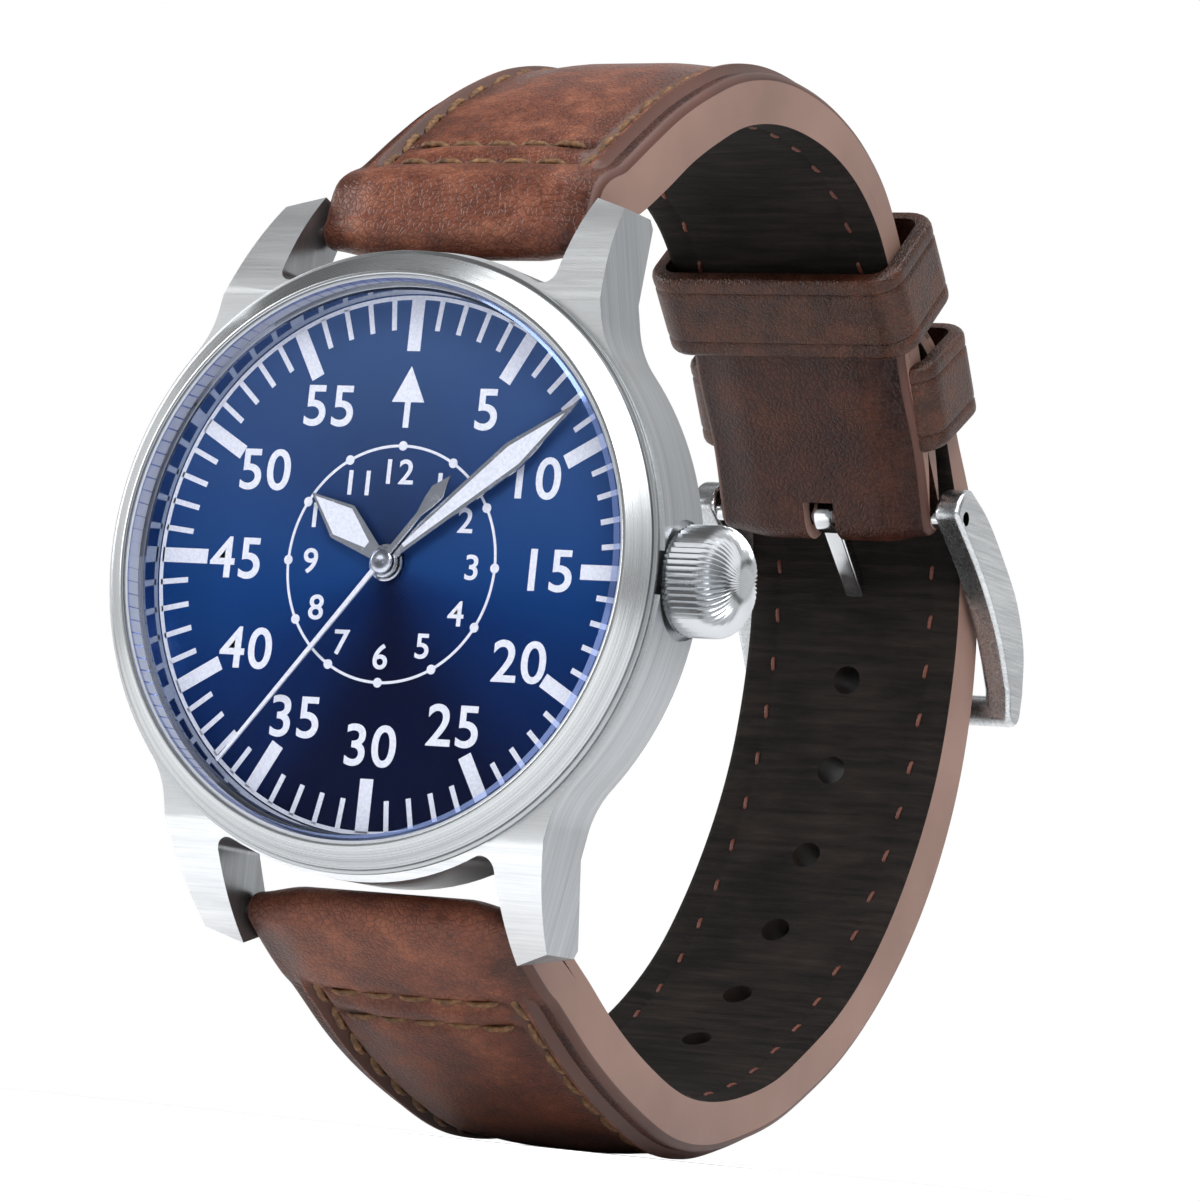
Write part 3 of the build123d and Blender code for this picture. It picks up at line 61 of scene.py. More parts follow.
def srgb(code):
    """A colour written as sRGB hex, as the linear values that the shaders take."""
    shares = [int(code[i : i + 2], 16) / 255 for i in (1, 3, 5)]
    linear = [s / 12.92 if s <= 0.04045 else ((s + 0.055) / 1.055) ** 2.4 for s in shares]
    return (*linear, 1.0)


def add_node(tree, kind, settings=None, links=None):
    """Adds a node; settings go to its properties or sockets, links join other sockets to its inputs."""
    node = tree.nodes.new(kind)
    for name, value in (settings or {}).items():
        if isinstance(name, str) and hasattr(node, name):
            setattr(node, name, value)
        else:
            node.inputs[name].default_value = value
    for name, socket in (links or {}).items():
        tree.links.new(socket, node.inputs[name])
    return node


def new_material(name):
    """An empty material, with its node tree and the piece's own coordinates."""
    material = bpy.data.materials.new(name)
    material.use_nodes = True
    tree = material.node_tree
    tree.nodes.clear()
    return material, tree, add_node(tree, "ShaderNodeTexCoord").outputs["Object"]


def show(tree, kind, settings=None, links=None):
    """The shader that the material's surface shows."""
    shader = add_node(tree, kind, settings, links)
    add_node(tree, "ShaderNodeOutputMaterial", links={"Surface": shader.outputs[0]})


def noise(tree, place, scale, detail=2.0, more=None):
    settings = {"Scale": scale, "Detail": detail, **(more or {})}
    return add_node(tree, "ShaderNodeTexNoise", settings, {"Vector": place}).outputs["Fac"]


def ranged(tree, value, low, high, start=0.0, end=1.0, more=None):
    """A value that goes from low to high while the given one goes from start to end."""
    settings = {"From Min": start, "From Max": end, "To Min": low, "To Max": high, **(more or {})}
    return add_node(tree, "ShaderNodeMapRange", settings, {"Value": value}).outputs[0]


def maths(tree, operation, *terms):
    """One step of arithmetic on sockets and plain numbers."""
    numbers = {i: term for i, term in enumerate(terms) if isinstance(term, float)}
    sockets = {i: term for i, term in enumerate(terms) if i not in numbers}
    return add_node(tree, "ShaderNodeMath", {"operation": operation, **numbers}, sockets).outputs[0]


def colour_ramp(tree, socket, *stops):
    """A colour ramp over a factor, with (place, hex colour) stops."""
    ramp = add_node(tree, "ShaderNodeValToRGB", links={"Fac": socket})
    elements = ramp.color_ramp.elements
    while len(elements) < len(stops):
        elements.new(0.5)
    for element, (place, colour) in zip(elements, stops):
        element.position = place
        element.color = srgb(colour)
    return ramp.outputs["Color"]


def select(*pieces):
    """Selects these pieces alone, the first of them active, in object mode."""
    if bpy.context.object and bpy.context.object.mode != "OBJECT":
        bpy.ops.object.mode_set(mode="OBJECT")
    bpy.ops.object.select_all(action="DESELECT")
    for piece in pieces:
        piece.select_set(True)
        bpy.context.view_layer.objects.active = pieces[0]


# White paper: near white and matt, with the faintest mottling, so that only the soft shadow shows
paper, tree, place = new_material("white_paper")
shade = colour_ramp(tree, noise(tree, place, 300.0, 4.0), (0.3, "#f8f8f9"), (0.7, "#fdfdfd"))
show(tree, "ShaderNodeBsdfPrincipled", {"Roughness": 0.9, "Specular IOR Level": 0.1}, {"Base Color": shade})

select()
bpy.ops.mesh.primitive_grid_add(
    size=TABLE_WIDTH, x_subdivisions=8, y_subdivisions=8, location=(0, 0, cad_box[0][2])
)
table = bpy.context.object
table.name = "table"
bpy.ops.object.transform_apply(location=True, rotation=True, scale=True)
table.data.materials.append(paper)

world = bpy.data.worlds.new("white_surround")
world.use_nodes = True
bpy.context.scene.world = world
tree = world.node_tree
backdrop = tree.nodes["Background"]
backdrop.inputs["Color"].default_value = srgb("#ffffff")
ray_kind = add_node(tree, "ShaderNodeLightPath").outputs
seen = maths(tree, "MAXIMUM", ray_kind["Is Camera Ray"], ray_kind["Is Transmission Ray"])
# Mirror rays meet a bright studio with a few dark walls, which give the steel its contrast
direction = add_node(tree, "ShaderNodeTexCoord").outputs["Generated"]
walls = noise(tree, direction, 1.1, 0.0, {"Distortion": 0.3})
wall_light = ranged(tree, walls, 0.18, 0.9, 0.44, 0.58, {"interpolation_type": "SMOOTHSTEP"})
unseen = add_node(tree, "ShaderNodeMix", {"A": 0.5}, {"Factor": ray_kind["Is Glossy Ray"], "B": wall_light})
strength = add_node(tree, "ShaderNodeMix", {"B": 1.0}, {"Factor": seen, "A": unseen.outputs["Result"]})
tree.links.new(strength.outputs["Result"], backdrop.inputs["Strength"])

camera_data = bpy.data.cameras.new("photo_camera")
camera_data.lens = 150
camera_data.sensor_width = 36
camera_data.clip_start = 0.01
camera = bpy.data.objects.new("photo_camera", camera_data)
camera.location = CAMERA_PLACE
camera.rotation_euler = [radians(turn) for turn in CAMERA_TURN]
bpy.context.scene.collection.objects.link(camera)
bpy.context.scene.camera = camera
bpy.context.scene.view_settings.view_transform = "Standard"


def soft_lamp(name, place, width, power):
    """A square softbox that faces the watch."""
    lamp_data = bpy.data.lights.new(name, "AREA")
    lamp_data.shape = "SQUARE"
    lamp_data.size = width
    lamp_data.energy = power
    lamp = bpy.data.objects.new(name, lamp_data)
    lamp.location = place
    lamp.rotation_euler = (-lamp.location).to_track_quat("-Z", "Y").to_euler()
    bpy.context.scene.collection.objects.link(lamp)


soft_lamp("left_softbox", (-0.50, -0.16, 0.20), 0.35, 2.2)
soft_lamp("top_softbox", (0.10, -0.05, 0.45), 0.35, 1.8)
soft_lamp("front_softbox", (0.34, -0.50, 0.42), 0.30, 3.0)

# Case middle: a steel drum with four lugs, turned and milled from one blank, then brushed by hand.
# The top faces are brushed across, the flanks along, and the edges between them are polished.
# Its bores take the movement, the bezel's spigot, the crown's tube and the spring bars.
CASE_RADIUS, CASE_FRONT, CASE_REAR = 19.6, -8.2, -3.0
DIAL_FRONT, DIAL_REAR = -6.8, -6.4
LUG_INNER, LUG_REACH, LUG_DROP = 9.8, 23.75, 5.0
LUG_TIP, LUG_ROOT, LUG_BLEND = (12.2, 22.95), (13.6, 15.484), (15.015, 12.599)
LUG_SLOPE_START, ROOT_ROUND = 16.39, 0.8
LUG_UNDERSIDE = [(-0.6, 23.0), (-0.3, 22.4), (CASE_REAR, 17.05)]
MOVEMENT_BORE, SPIGOT_BORE, TUBE_BORE = 15.2, 17.57, 1.22
CROWN_LEVEL, CROWN_RADIUS, CROWN_RECESS, CROWN_GAP = -4.8, 3.4, 19.0, 0.25
BAR_DEPTH, BAR_REACH, BAR_RADIUS = 2.6, 21.6, 0.8
BAR_HOLE, BAR_HOLE_END = 0.42, 11.3
CROWN_CENTRE = (0, CROWN_LEVEL, 0)
CUTTER_END = 22.0
FIRST_TURN = 0.0005


def rod(radius, start, end):
    """The profile of a plain rod."""
    return ((FIRST_TURN, start), (radius, start), (radius, end), (FIRST_TURN, end))


def tube(first, second, start, end):
    """The profile of a plain ring between two radii."""
    return ((first, start), (second, start), (second, end), (first, end), (first, start))


def face_outward():
    """Turns all faces of the mesh in edit mode outward, and leaves edit mode."""
    bpy.ops.mesh.select_all(action="SELECT")
    bpy.ops.mesh.normals_make_consistent(inside=False)
    bpy.ops.object.mode_set(mode="OBJECT")


def turned(name, profile, segments=256, axis="Y", centre=(0, 0, 0)):
    """A turned piece: a circle at the profile's first (radius, place), extruded and resized to each next one."""
    select()
    along = Vector((0, 1, 0)) if axis == "Y" else Vector((1, 0, 0))
    across = Vector((1, 1, 1)) - along
    (radius, level), *others = profile
    start = Vector(centre) + along * level
    rotation = (pi / 2, 0, 0) if axis == "Y" else (0, pi / 2, 0)
    bpy.ops.mesh.primitive_circle_add(
        vertices=segments, radius=radius * MM, location=start * MM, rotation=rotation
    )
    piece = bpy.context.object
    piece.name = name
    bpy.ops.object.transform_apply(location=True, rotation=True, scale=True)
    bpy.ops.object.mode_set(mode="EDIT")
    bpy.ops.mesh.select_all(action="SELECT")
    for next_radius, next_level in others:
        move = along * (next_level - level) * MM
        bpy.ops.mesh.extrude_edges_move(TRANSFORM_OT_translate={"value": move})
        middle = (Vector(centre) + along * next_level) * MM
        bpy.ops.transform.resize(value=across * (next_radius / radius) + along, center_override=middle)
        radius, level = next_radius, next_level
    bpy.ops.mesh.select_all(action="SELECT")
    bpy.ops.mesh.remove_doubles(threshold=2 * FIRST_TURN * MM)
    face_outward()
    return piece


def plate(name, outline, start, end, axis="Y"):
    """A flat piece: a ring of vertices moved to the outline in mm, filled, and extruded from start to end."""
    select()
    bpy.ops.mesh.primitive_circle_add(vertices=len(outline), radius=MM, fill_type="NGON")
    piece = bpy.context.object
    piece.name = name
    for vertex, (u, v) in zip(piece.data.vertices, outline):
        vertex.co = Vector((u, start, v) if axis == "Y" else (start, u, v)) * MM
    move = Vector((0, end - start, 0) if axis == "Y" else (end - start, 0, 0)) * MM
    bpy.ops.object.mode_set(mode="EDIT")
    bpy.ops.mesh.select_all(action="SELECT")
    bpy.ops.mesh.extrude_region_move(TRANSFORM_OT_translate={"value": move})
    face_outward()
    return piece


def apply_modifier(piece, kind, **settings):
    """Adds a modifier with its settings and applies it."""
    select(piece)
    modifier = piece.modifiers.new(kind, kind)
    for setting, value in settings.items():
        setattr(modifier, setting, value)
    bpy.ops.object.modifier_apply(modifier=modifier.name)


def cut(piece, tool, operation="DIFFERENCE"):
    """Cuts, joins or intersects a piece with a tool, which is then removed."""
    apply_modifier(piece, "BOOLEAN", object=tool, operation=operation, solver="EXACT")
    bpy.data.objects.remove(tool, do_unlink=True)


def bevel(piece, width, segments=2, angle=30, material=-1):
    limit = {"limit_method": "ANGLE", "angle_limit": radians(angle), "harden_normals": False}
    apply_modifier(piece, "BEVEL", width=width * MM, segments=segments, material=material, **limit)


def smooth(piece, angle=30):
    select(piece)
    bpy.ops.object.shade_smooth_by_angle(angle=radians(angle))
    apply_modifier(piece, "WEIGHTED_NORMAL", keep_sharp=True)


def dress(piece, body, materials, *nodes):
    """Gives a piece its materials and its body, and hides the CAD nodes that it stands for."""
    piece.data.materials.clear()
    for material in materials:
        piece.data.materials.append(material)
    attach(piece, body)
    if nodes:
        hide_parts(*nodes)


def about_dial(angle, radius, offset=0.0):
    """A place about the watch's axis: clockwise angle from twelve, radius and sideways offset, as (x, z)."""
    turn = radians(angle)
    return (radius * sin(turn) + offset * cos(turn), radius * cos(turn) - offset * sin(turn))


def arc_points(start, middle, end, steps):
    """Points on the circle through three points, from the first to the last."""
    (ax, ay), (bx, by), (cx, cy) = start, middle, end
    d = 2 * (ax * (by - cy) + bx * (cy - ay) + cx * (ay - by))
    x = ((ax**2 + ay**2) * (by - cy) + (bx**2 + by**2) * (cy - ay) + (cx**2 + cy**2) * (ay - by)) / d
    y = ((ax**2 + ay**2) * (cx - bx) + (bx**2 + by**2) * (ax - cx) + (cx**2 + cy**2) * (bx - ax)) / d
    first = atan2(ay - y, ax - x)
    half = (atan2(by - y, bx - x) - first + pi) % (2 * pi) - pi
    rest = (atan2(cy - y, cx - x) - first - half + pi) % (2 * pi) - pi
    radius = hypot(ax - x, ay - y)
    angles = [first + (half + rest) * i / steps for i in range(steps + 1)]
    return [(x + radius * cos(angle), y + radius * sin(angle)) for angle in angles]


def brushed_steel(name, stretch, dark, light, roughness, turn=(0, 0, 0), rings=False):
    """Brushed steel: fine lines along the slow axes of stretch, or rings about the watch's axis."""
    material, tree, place = new_material(name)
    if rings:
        flat = add_node(tree, "ShaderNodeVectorMath", {"operation": "MULTIPLY", 1: (1, 0, 1)}, {0: place})
        distance = add_node(tree, "ShaderNodeVectorMath", {"operation": "LENGTH"}, {0: flat.outputs[0]})
        level = add_node(tree, "ShaderNodeSeparateXYZ", links={0: place}).outputs["Y"]
        links = {"X": distance.outputs["Value"], "Y": level}
        place = add_node(tree, "ShaderNodeCombineXYZ", links=links).outputs[0]
    settings = {"Scale": stretch, "Rotation": [radians(t) for t in turn]}
    lines = add_node(tree, "ShaderNodeMapping", settings, {"Vector": place}).outputs[0]
    fine = noise(tree, lines, 1.0, 6.0, {"Roughness": 0.75})
    broad = noise(tree, lines, 0.12)
    both = add_node(tree, "ShaderNodeMix", {"Factor": 0.3}, {"A": fine, "B": broad}).outputs["Result"]
    links = {
        "Base Color": colour_ramp(tree, both, (0.35, dark), (0.65, light)),
        "Roughness": ranged(tree, both, roughness + 0.08, roughness - 0.06, 0.35, 0.65),
        "Normal": raised(tree, fine, 0.08, 0.01),
    }
    show(tree, "ShaderNodeBsdfPrincipled", {"Metallic": 1.0, "Anisotropic": 0.4}, links)
    return material


def raised(tree, height, strength, depth):
    """A normal from a height map, with its depth in mm."""
    settings = {"Strength": strength, "Distance": depth * MM}
    return add_node(tree, "ShaderNodeBump", settings, {"Height": height}).outputs[0]


def polished_steel(name, colour="#d4d7da", roughness=0.12):
    """Polished steel with faint clouding from wear, so that its mirror isn't perfect."""
    material, tree, place = new_material(name)
    cloud = noise(tree, place, 900.0, 5.0)
    rough = ranged(tree, cloud, roughness * 0.7, roughness * 1.4, 0.3, 0.7)
    links = {"Roughness": rough, "Normal": raised(tree, cloud, 0.06, 0.01)}
    show(tree, "ShaderNodeBsdfPrincipled", {"Base Color": srgb(colour), "Metallic": 1.0}, links)
    return material


# Steel: fine brushed lines in one steel painted in three tones: lighter on top as painted light, greyer round the
# flanks as painted shade, and dark on the lugs' ends as a painted reflection of dark surroundings
steel_top_painted_lit = brushed_steel("steel_brushed_across_painted_lit", (160, 2000, 6500), "#c6c9cb", "#dddfe1", 0.38, (0, 14, 0))
steel_flank_painted_shade = brushed_steel("steel_brushed_along_painted_shade", (120, 15000, 120), "#8d9093", "#a9acaf", 0.34)
steel_painted_dark = brushed_steel("steel_brushed_painted_dark", (3000, 700, 700), "#505457", "#7b7f82", 0.36)
steel_polished = polished_steel("steel_polished")

# A quarter of the outline: the drum between the lugs, the fillet, the lug and the blend back to the drum
quarter = [about_dial(angle, CASE_RADIUS) for angle in range(0, 26, 3)]
fillet_x = LUG_INNER - ROOT_ROUND
fillet_z = ((CASE_RADIUS + ROOT_ROUND) ** 2 - fillet_x**2) ** 0.5
fillet_start = degrees(atan2(-fillet_z, -fillet_x))
fillet_turns = [radians(fillet_start * (1 - i / 8)) for i in range(9)]
quarter += [(fillet_x + ROOT_ROUND * cos(turn), fillet_z + ROOT_ROUND * sin(turn)) for turn in fillet_turns]
quarter += [(LUG_INNER, LUG_REACH), LUG_TIP]
slope = Vector(LUG_ROOT) - Vector(LUG_TIP)
normal = Vector((-slope.y, slope.x)).normalized()
chord = Vector(LUG_BLEND) - Vector(LUG_ROOT)
blend_centre = Vector(LUG_ROOT) + normal * (chord.length_squared / (2 * chord.dot(normal)))
blend_radius = (blend_centre - Vector(LUG_ROOT)).length
blend_middle = blend_centre + ((Vector(LUG_ROOT) + Vector(LUG_BLEND)) / 2 - blend_centre).normalized() * blend_radius
quarter += arc_points(LUG_ROOT, tuple(blend_middle), LUG_BLEND, 10)
blend_angle = degrees(atan2(LUG_BLEND[0], LUG_BLEND[1]))
quarter += [about_dial(blend_angle + (90 - blend_angle) * i / 18, CASE_RADIUS) for i in range(1, 19)]
right_half = quarter + [(x, -z) for x, z in reversed(quarter[:-1])]
plan = right_half + [(-x, z) for x, z in reversed(right_half[1:-1])]
slope_length = LUG_REACH - LUG_SLOPE_START
slope_middle = (CASE_FRONT + LUG_DROP * 0.40, LUG_SLOPE_START + slope_length * 0.52)
half_side = [(CASE_FRONT, 0.0)]
half_side += arc_points((CASE_FRONT, LUG_SLOPE_START), slope_middle, (CASE_FRONT + LUG_DROP, LUG_REACH), 12)
half_side += LUG_UNDERSIDE
side_view = half_side + [(y, -z) for y, z in reversed(half_side[1:])]

case = plate("case_middle_steel", plan, 0.0, CASE_FRONT - 1.0)
cut(case, plate("lug_side_view", side_view, -CASE_RADIUS - 1, CASE_RADIUS + 1, "X"), "INTERSECT")
cut(case, turned("movement_bore", rod(MOVEMENT_BORE, 1.0, -10.0)))
cut(case, turned("spigot_bore", rod(SPIGOT_BORE, -10.0, DIAL_REAR)))
recess = rod(CROWN_RADIUS + CROWN_GAP, CROWN_RECESS, CUTTER_END)
cut(case, turned("crown_recess", recess, 96, "X", CROWN_CENTRE))
cut(case, turned("tube_bore", rod(TUBE_BORE, 10.0, CUTTER_END), 48, "X", CROWN_CENTRE))
for side in (1, -1):
    pin = rod(BAR_HOLE, -BAR_HOLE_END, BAR_HOLE_END)
    cut(case, turned("bar_holes", pin, 32, "X", (0, -BAR_DEPTH, side * BAR_REACH)))
bevel(case, 0.14, 2, 28, material=2)
dress(case, "case", (steel_top_painted_lit, steel_flank_painted_shade, steel_polished, steel_painted_dark), "case_middle")
# Faces towards the front take the lighter steel as painted light, the rest the greyer steel as painted shade, and the
# lugs' ends the dark steel as a painted reflection of dark surroundings
for face in case.data.polygons:
    if face.material_index != 2:
        at_tip = abs(face.center.z) > 22 * MM and abs(face.normal.x) < 0.3
        face.material_index = 3 if at_tip and face.normal.y > -0.5 else (0 if face.normal.y < -0.5 else 1)
smooth(case, 24)

# Bezel: a turned steel ring pressed over the case, brushed round its cone, with a polished inner lip.
# The outer walls at its foot, round the small step, take the dark steel, a painted shade line round the watch.
BEZEL_RADIUS, BEZEL_FRONT, BEZEL_STEP = 19.3, -9.8, 0.25
CRYSTAL_SEAT, CRYSTAL_REAR, SHELF_RADIUS, SPIGOT_REAR = 17.55, -8.4, 17.0, CASE_FRONT + 0.9
# Ring-brushed steel: fine circles whose gloss runs round the watch with the light
steel_rings = brushed_steel("steel_brushed_rings", (9000, 9000, 9000), "#8b8e91", "#c3c6c8", 0.27, rings=True)
bezel_profile = (
    (BEZEL_RADIUS, CASE_FRONT), (BEZEL_RADIUS, CASE_FRONT - 0.35), (BEZEL_RADIUS - BEZEL_STEP, CASE_FRONT - 0.35),
    (BEZEL_RADIUS - BEZEL_STEP, CASE_FRONT - 0.55), (CRYSTAL_SEAT + 0.25, BEZEL_FRONT), (CRYSTAL_SEAT, BEZEL_FRONT),
    (CRYSTAL_SEAT, CRYSTAL_REAR), (SHELF_RADIUS, CRYSTAL_REAR), (SHELF_RADIUS, SPIGOT_REAR),
    (CRYSTAL_SEAT, SPIGOT_REAR), (CRYSTAL_SEAT, CASE_FRONT), (BEZEL_RADIUS, CASE_FRONT),
)
bezel = turned("bezel_steel", bezel_profile, 320)
bevel(bezel, 0.07, 2, 28, material=1)
dress(bezel, "case", (steel_rings, steel_polished, steel_painted_dark), "bezel")
# Outer walls at the foot: dark steel, painted shade
for face in bezel.data.polygons:
    if abs(face.normal.y) < 0.3 and hypot(face.center.x, face.center.z) > 18.9 * MM:
        face.material_index = 2
smooth(bezel, 24)

# Crystal: flat sapphire held in the bezel by its gasket, with a ground and polished chamfer.
# Its thin blue-violet coating shows only as a faint mirror, so the dial stays clear below it.
CRYSTAL_RADIUS, CRYSTAL_FRONT, CHAMFER = 17.35, -9.9, 0.3


def glass(name, place_scale, detail, rough, tint, clear_tint, mirror=None):
    """Thin clear glass: a share of it mirrors, by Fresnel or as given, and the rest lets light through."""
    material, tree, place = new_material(name)
    marks = ranged(tree, noise(tree, place, place_scale, detail), *rough)
    gloss = add_node(tree, "ShaderNodeBsdfGlossy", {"Color": srgb(tint)}, {"Roughness": marks})
    clear = add_node(tree, "ShaderNodeBsdfTransparent", {"Color": srgb(clear_tint)})
    links = {1: clear.outputs[0], 2: gloss.outputs[0]}
    if mirror is None:
        links["Fac"] = add_node(tree, "ShaderNodeFresnel", {"IOR": 1.13}).outputs[0]
    show(tree, "ShaderNodeMixShader", {} if mirror is None else {"Fac": mirror}, links)
    return material


# Coated sapphire: clear, with a cool mirror at low angles; its ground chamfer is a cloudy lavender line
sapphire = glass("coated_sapphire", 120.0, 2.0, (0.0, 0.015), "#ccd4f8", "#fbfcff")
chamfer_glass = glass("ground_sapphire_chamfer", 4000.0, 3.0, (0.05, 0.2), "#93a9e2", "#dfe4f8", 0.38)
crystal_profile = (
    (FIRST_TURN, CRYSTAL_FRONT), (CRYSTAL_RADIUS - CHAMFER, CRYSTAL_FRONT), (CRYSTAL_RADIUS, CRYSTAL_FRONT + CHAMFER),
    (CRYSTAL_RADIUS, CRYSTAL_REAR), (FIRST_TURN, CRYSTAL_REAR),
)
crystal = turned("crystal_sapphire", crystal_profile)
dress(crystal, "case", (sapphire, chamfer_glass), "crystal")
for face in crystal.data.polygons:
    face.material_index = 0 if abs(face.normal.y) > 0.9 else 1
smooth(crystal, 24)

# Dial: a brass disc on two feet, brushed from its middle outward and lacquered blue.
# Its colour holds painted light: two painted highlight fans across it, a pale painted reflection haze towards twelve
# and painted shade, near black, towards six.
DIAL_RADIUS, PIPE_BORE = 17.3, 0.97
FOOT_REACH, FOOT_RADIUS, FOOT_LENGTH = 11.6, 0.35, 0.8
# Sunray lacquer: deep blue under a satin gloss, with hair-fine rays in its colour and height
sunray, tree, place = new_material("sunray_blue_lacquer_painted_light")
parts = add_node(tree, "ShaderNodeSeparateXYZ", links={0: place}).outputs
angle = maths(tree, "ARCTAN2", parts["Z"], parts["X"])
spread = add_node(tree, "ShaderNodeCombineXYZ", links={"X": angle}).outputs[0]
rays = noise(tree, spread, 55.0, 5.0, {"Roughness": 0.7})
# Painted highlight: two bright fans across the dial, where the lamps would catch the sunray brushing
wave = maths(tree, "COSINE", maths(tree, "SUBTRACT", angle, 0.12))
painted_highlight_fans = maths(tree, "MULTIPLY", wave, wave)
painted_fans_with_rays = add_node(tree, "ShaderNodeMix", {"Factor": 0.08}, {"A": painted_highlight_fans, "B": rays}).outputs["Result"]
# Painted shade: darker towards six
painted_shade_towards_six = ranged(tree, parts["Z"], -0.28, 0.32, -17 * MM, 12 * MM)
tone = maths(tree, "ADD", painted_fans_with_rays, painted_shade_towards_six)
colour = colour_ramp(tree, tone, (0.0, "#010a2c"), (0.3, "#05204e"), (0.7, "#072d62"), (1.0, "#0d3e78"))
# Painted reflection: a pale haze towards twelve
high = ranged(tree, parts["Z"], 0.0, 0.85, -2 * MM, 19 * MM)
painted_reflection_haze = add_node(tree, "ShaderNodeMix", {"data_type": "RGBA"}, {"Factor": high, 6: colour})
painted_reflection_haze.inputs[7].default_value = srgb("#54709a")
show(
    tree,
    "ShaderNodeBsdfPrincipled",
    {"Metallic": 0.3, "Coat Weight": 0.06, "Coat Roughness": 0.12, "Specular IOR Level": 0.12},
    {
        "Base Color": painted_reflection_haze.outputs[2],
        "Roughness": ranged(tree, rays, 0.24, 0.4),
        "Normal": raised(tree, rays, 0.06, 0.02),
    },
)
dial = turned("dial_blue", tube(PIPE_BORE, DIAL_RADIUS, DIAL_FRONT, DIAL_REAR), 192)
for foot_angle in (128, 332):
    foot_place = (FOOT_REACH * cos(radians(foot_angle)), 0, FOOT_REACH * sin(radians(foot_angle)))
    foot = rod(FOOT_RADIUS, DIAL_REAR - 0.1, DIAL_REAR + FOOT_LENGTH)
    cut(dial, turned("dial_foot", foot, 24, "Y", foot_place), "UNION")
bevel(dial, 0.03, 1, 40)
dress(dial, "case", (sunray,), "dial")
smooth(dial, 30)

# Print: white luminous paint, laid on thick through a stencil, so it stands a little above the lacquer.
# Minute bars, two fine circles, a dot for each hour, the arrow under twelve and plain numbers.
PRINT = 0.03
BAR_START, HOUR_BAR_START, BAR_END = 14.65, 13.3, 16.65
BAR_WIDTH, HOUR_BAR_WIDTH = 0.34, 0.92
CIRCLES = ((7.27, 7.44), (16.52, 16.78))
DOT_ORBIT, DOT_RADIUS, DOT_RISE = 7.36, 0.3, 0.01
ARROW = ((8.5, -0.2), (10.1, -0.2), (10.1, -1.15), (12.35, 0), (10.1, 1.15), (10.1, 0.2), (8.5, 0.2))
MINUTE_NUMBERS, HOUR_NUMBERS = (11.25, 2.5, 1.02), (5.75, 1.5, 1.06)
# Luminous paint: flat off-white, gritty with pigment grains
lume_paint, tree, place = new_material("luminous_white_paint")
grit = noise(tree, place, 5000.0, 4.0)
colour = colour_ramp(tree, grit, (0.3, "#dcdddf"), (0.7, "#f1f1f2"))
show(
    tree, "ShaderNodeBsdfPrincipled", {"Roughness": 0.6},
    {"Base Color": colour, "Normal": raised(tree, grit, 0.25, 0.02)},
)


def join(name, pieces):
    select(*pieces)
    bpy.ops.object.join()
    pieces[0].name = name
    return pieces[0]


def on_dial(name, angle, corners):
    """A flat mark of paint with corners at (radius, offset)."""
    return plate(name, [about_dial(angle, r, o) for r, o in corners], DIAL_FRONT, DIAL_FRONT - PRINT)


def number(text, angle, radius, height, stretch):
    """One upright number, centred on its place and converted to a mesh."""
    select()
    bpy.ops.object.text_add()
    label = bpy.context.object
    label.data.body = text
    label.data.align_x, label.data.align_y = "CENTER", "CENTER"
    label.data.size = height / 0.69 * MM
    label.data.offset = 0.018 * height * MM
    label.data.extrude = PRINT * MM / 2
    label.data.space_character = 1.08
    label.data.resolution_u = 6
    bpy.ops.object.convert(target="MESH")
    label = bpy.context.object
    corners = [vertex.co for vertex in label.data.vertices]
    middle = Vector([(max(c[i] for c in corners) + min(c[i] for c in corners)) / 2 for i in range(3)])
    x, z = about_dial(angle, radius)
    for vertex in label.data.vertices:
        place = vertex.co - middle
        vertex.co = Vector((place.x * stretch + x * MM, (DIAL_FRONT - PRINT / 2) * MM - place.z, place.y + z * MM))
    return label


marks = []
for minute in range(60):
    start, width = (BAR_START, BAR_WIDTH) if minute % 5 else (HOUR_BAR_START, HOUR_BAR_WIDTH)
    corners = ((start, -width / 2), (BAR_END, -width / 2), (BAR_END, width / 2), (start, width / 2))
    marks.append(on_dial("mark", minute * 6, corners))
for inner, outer in CIRCLES:
    marks.append(turned("circle", tube(inner, outer, DIAL_FRONT, DIAL_FRONT - PRINT), 192))
for hour in range(12):
    x, z = about_dial(hour * 30, DOT_ORBIT)
    dot = rod(DOT_RADIUS, DIAL_FRONT - PRINT - DOT_RISE, DIAL_FRONT)
    marks.append(turned("dot", dot, 24, "Y", (x, 0, z)))
marks.append(on_dial("arrow", 0, ARROW))
dress(join("dial_marks", marks), "case", (lume_paint,))
numbers = [number(str(minute), minute * 6, *MINUTE_NUMBERS) for minute in range(5, 60, 5)]
numbers += [number(str(hour), hour * 30, *HOUR_NUMBERS) for hour in range(1, 13)]
numerals = join("dial_numbers", numbers)
bpy.ops.object.mode_set(mode="EDIT")
face_outward()
dress(numerals, "case", (lume_paint,))

# Dial ring: a thin wall of polished steel between dial and crystal, clamped by the bezel.
# It mirrors the ends of the minute bars.
RING_OUTER, RING_INNER = 16.98, 16.83
# Ring steel: a cool mirror, with the blue of the coated glass above it painted into its colour as a painted reflection
ring_steel = polished_steel("steel_polished_dial_ring", "#8f9aad", 0.1)
dial_ring = turned("dial_ring_steel", tube(RING_OUTER, RING_INNER, DIAL_FRONT, CRYSTAL_REAR))
dress(dial_ring, "case", (ring_steel,), "dial_ring")
smooth(dial_ring, 30)

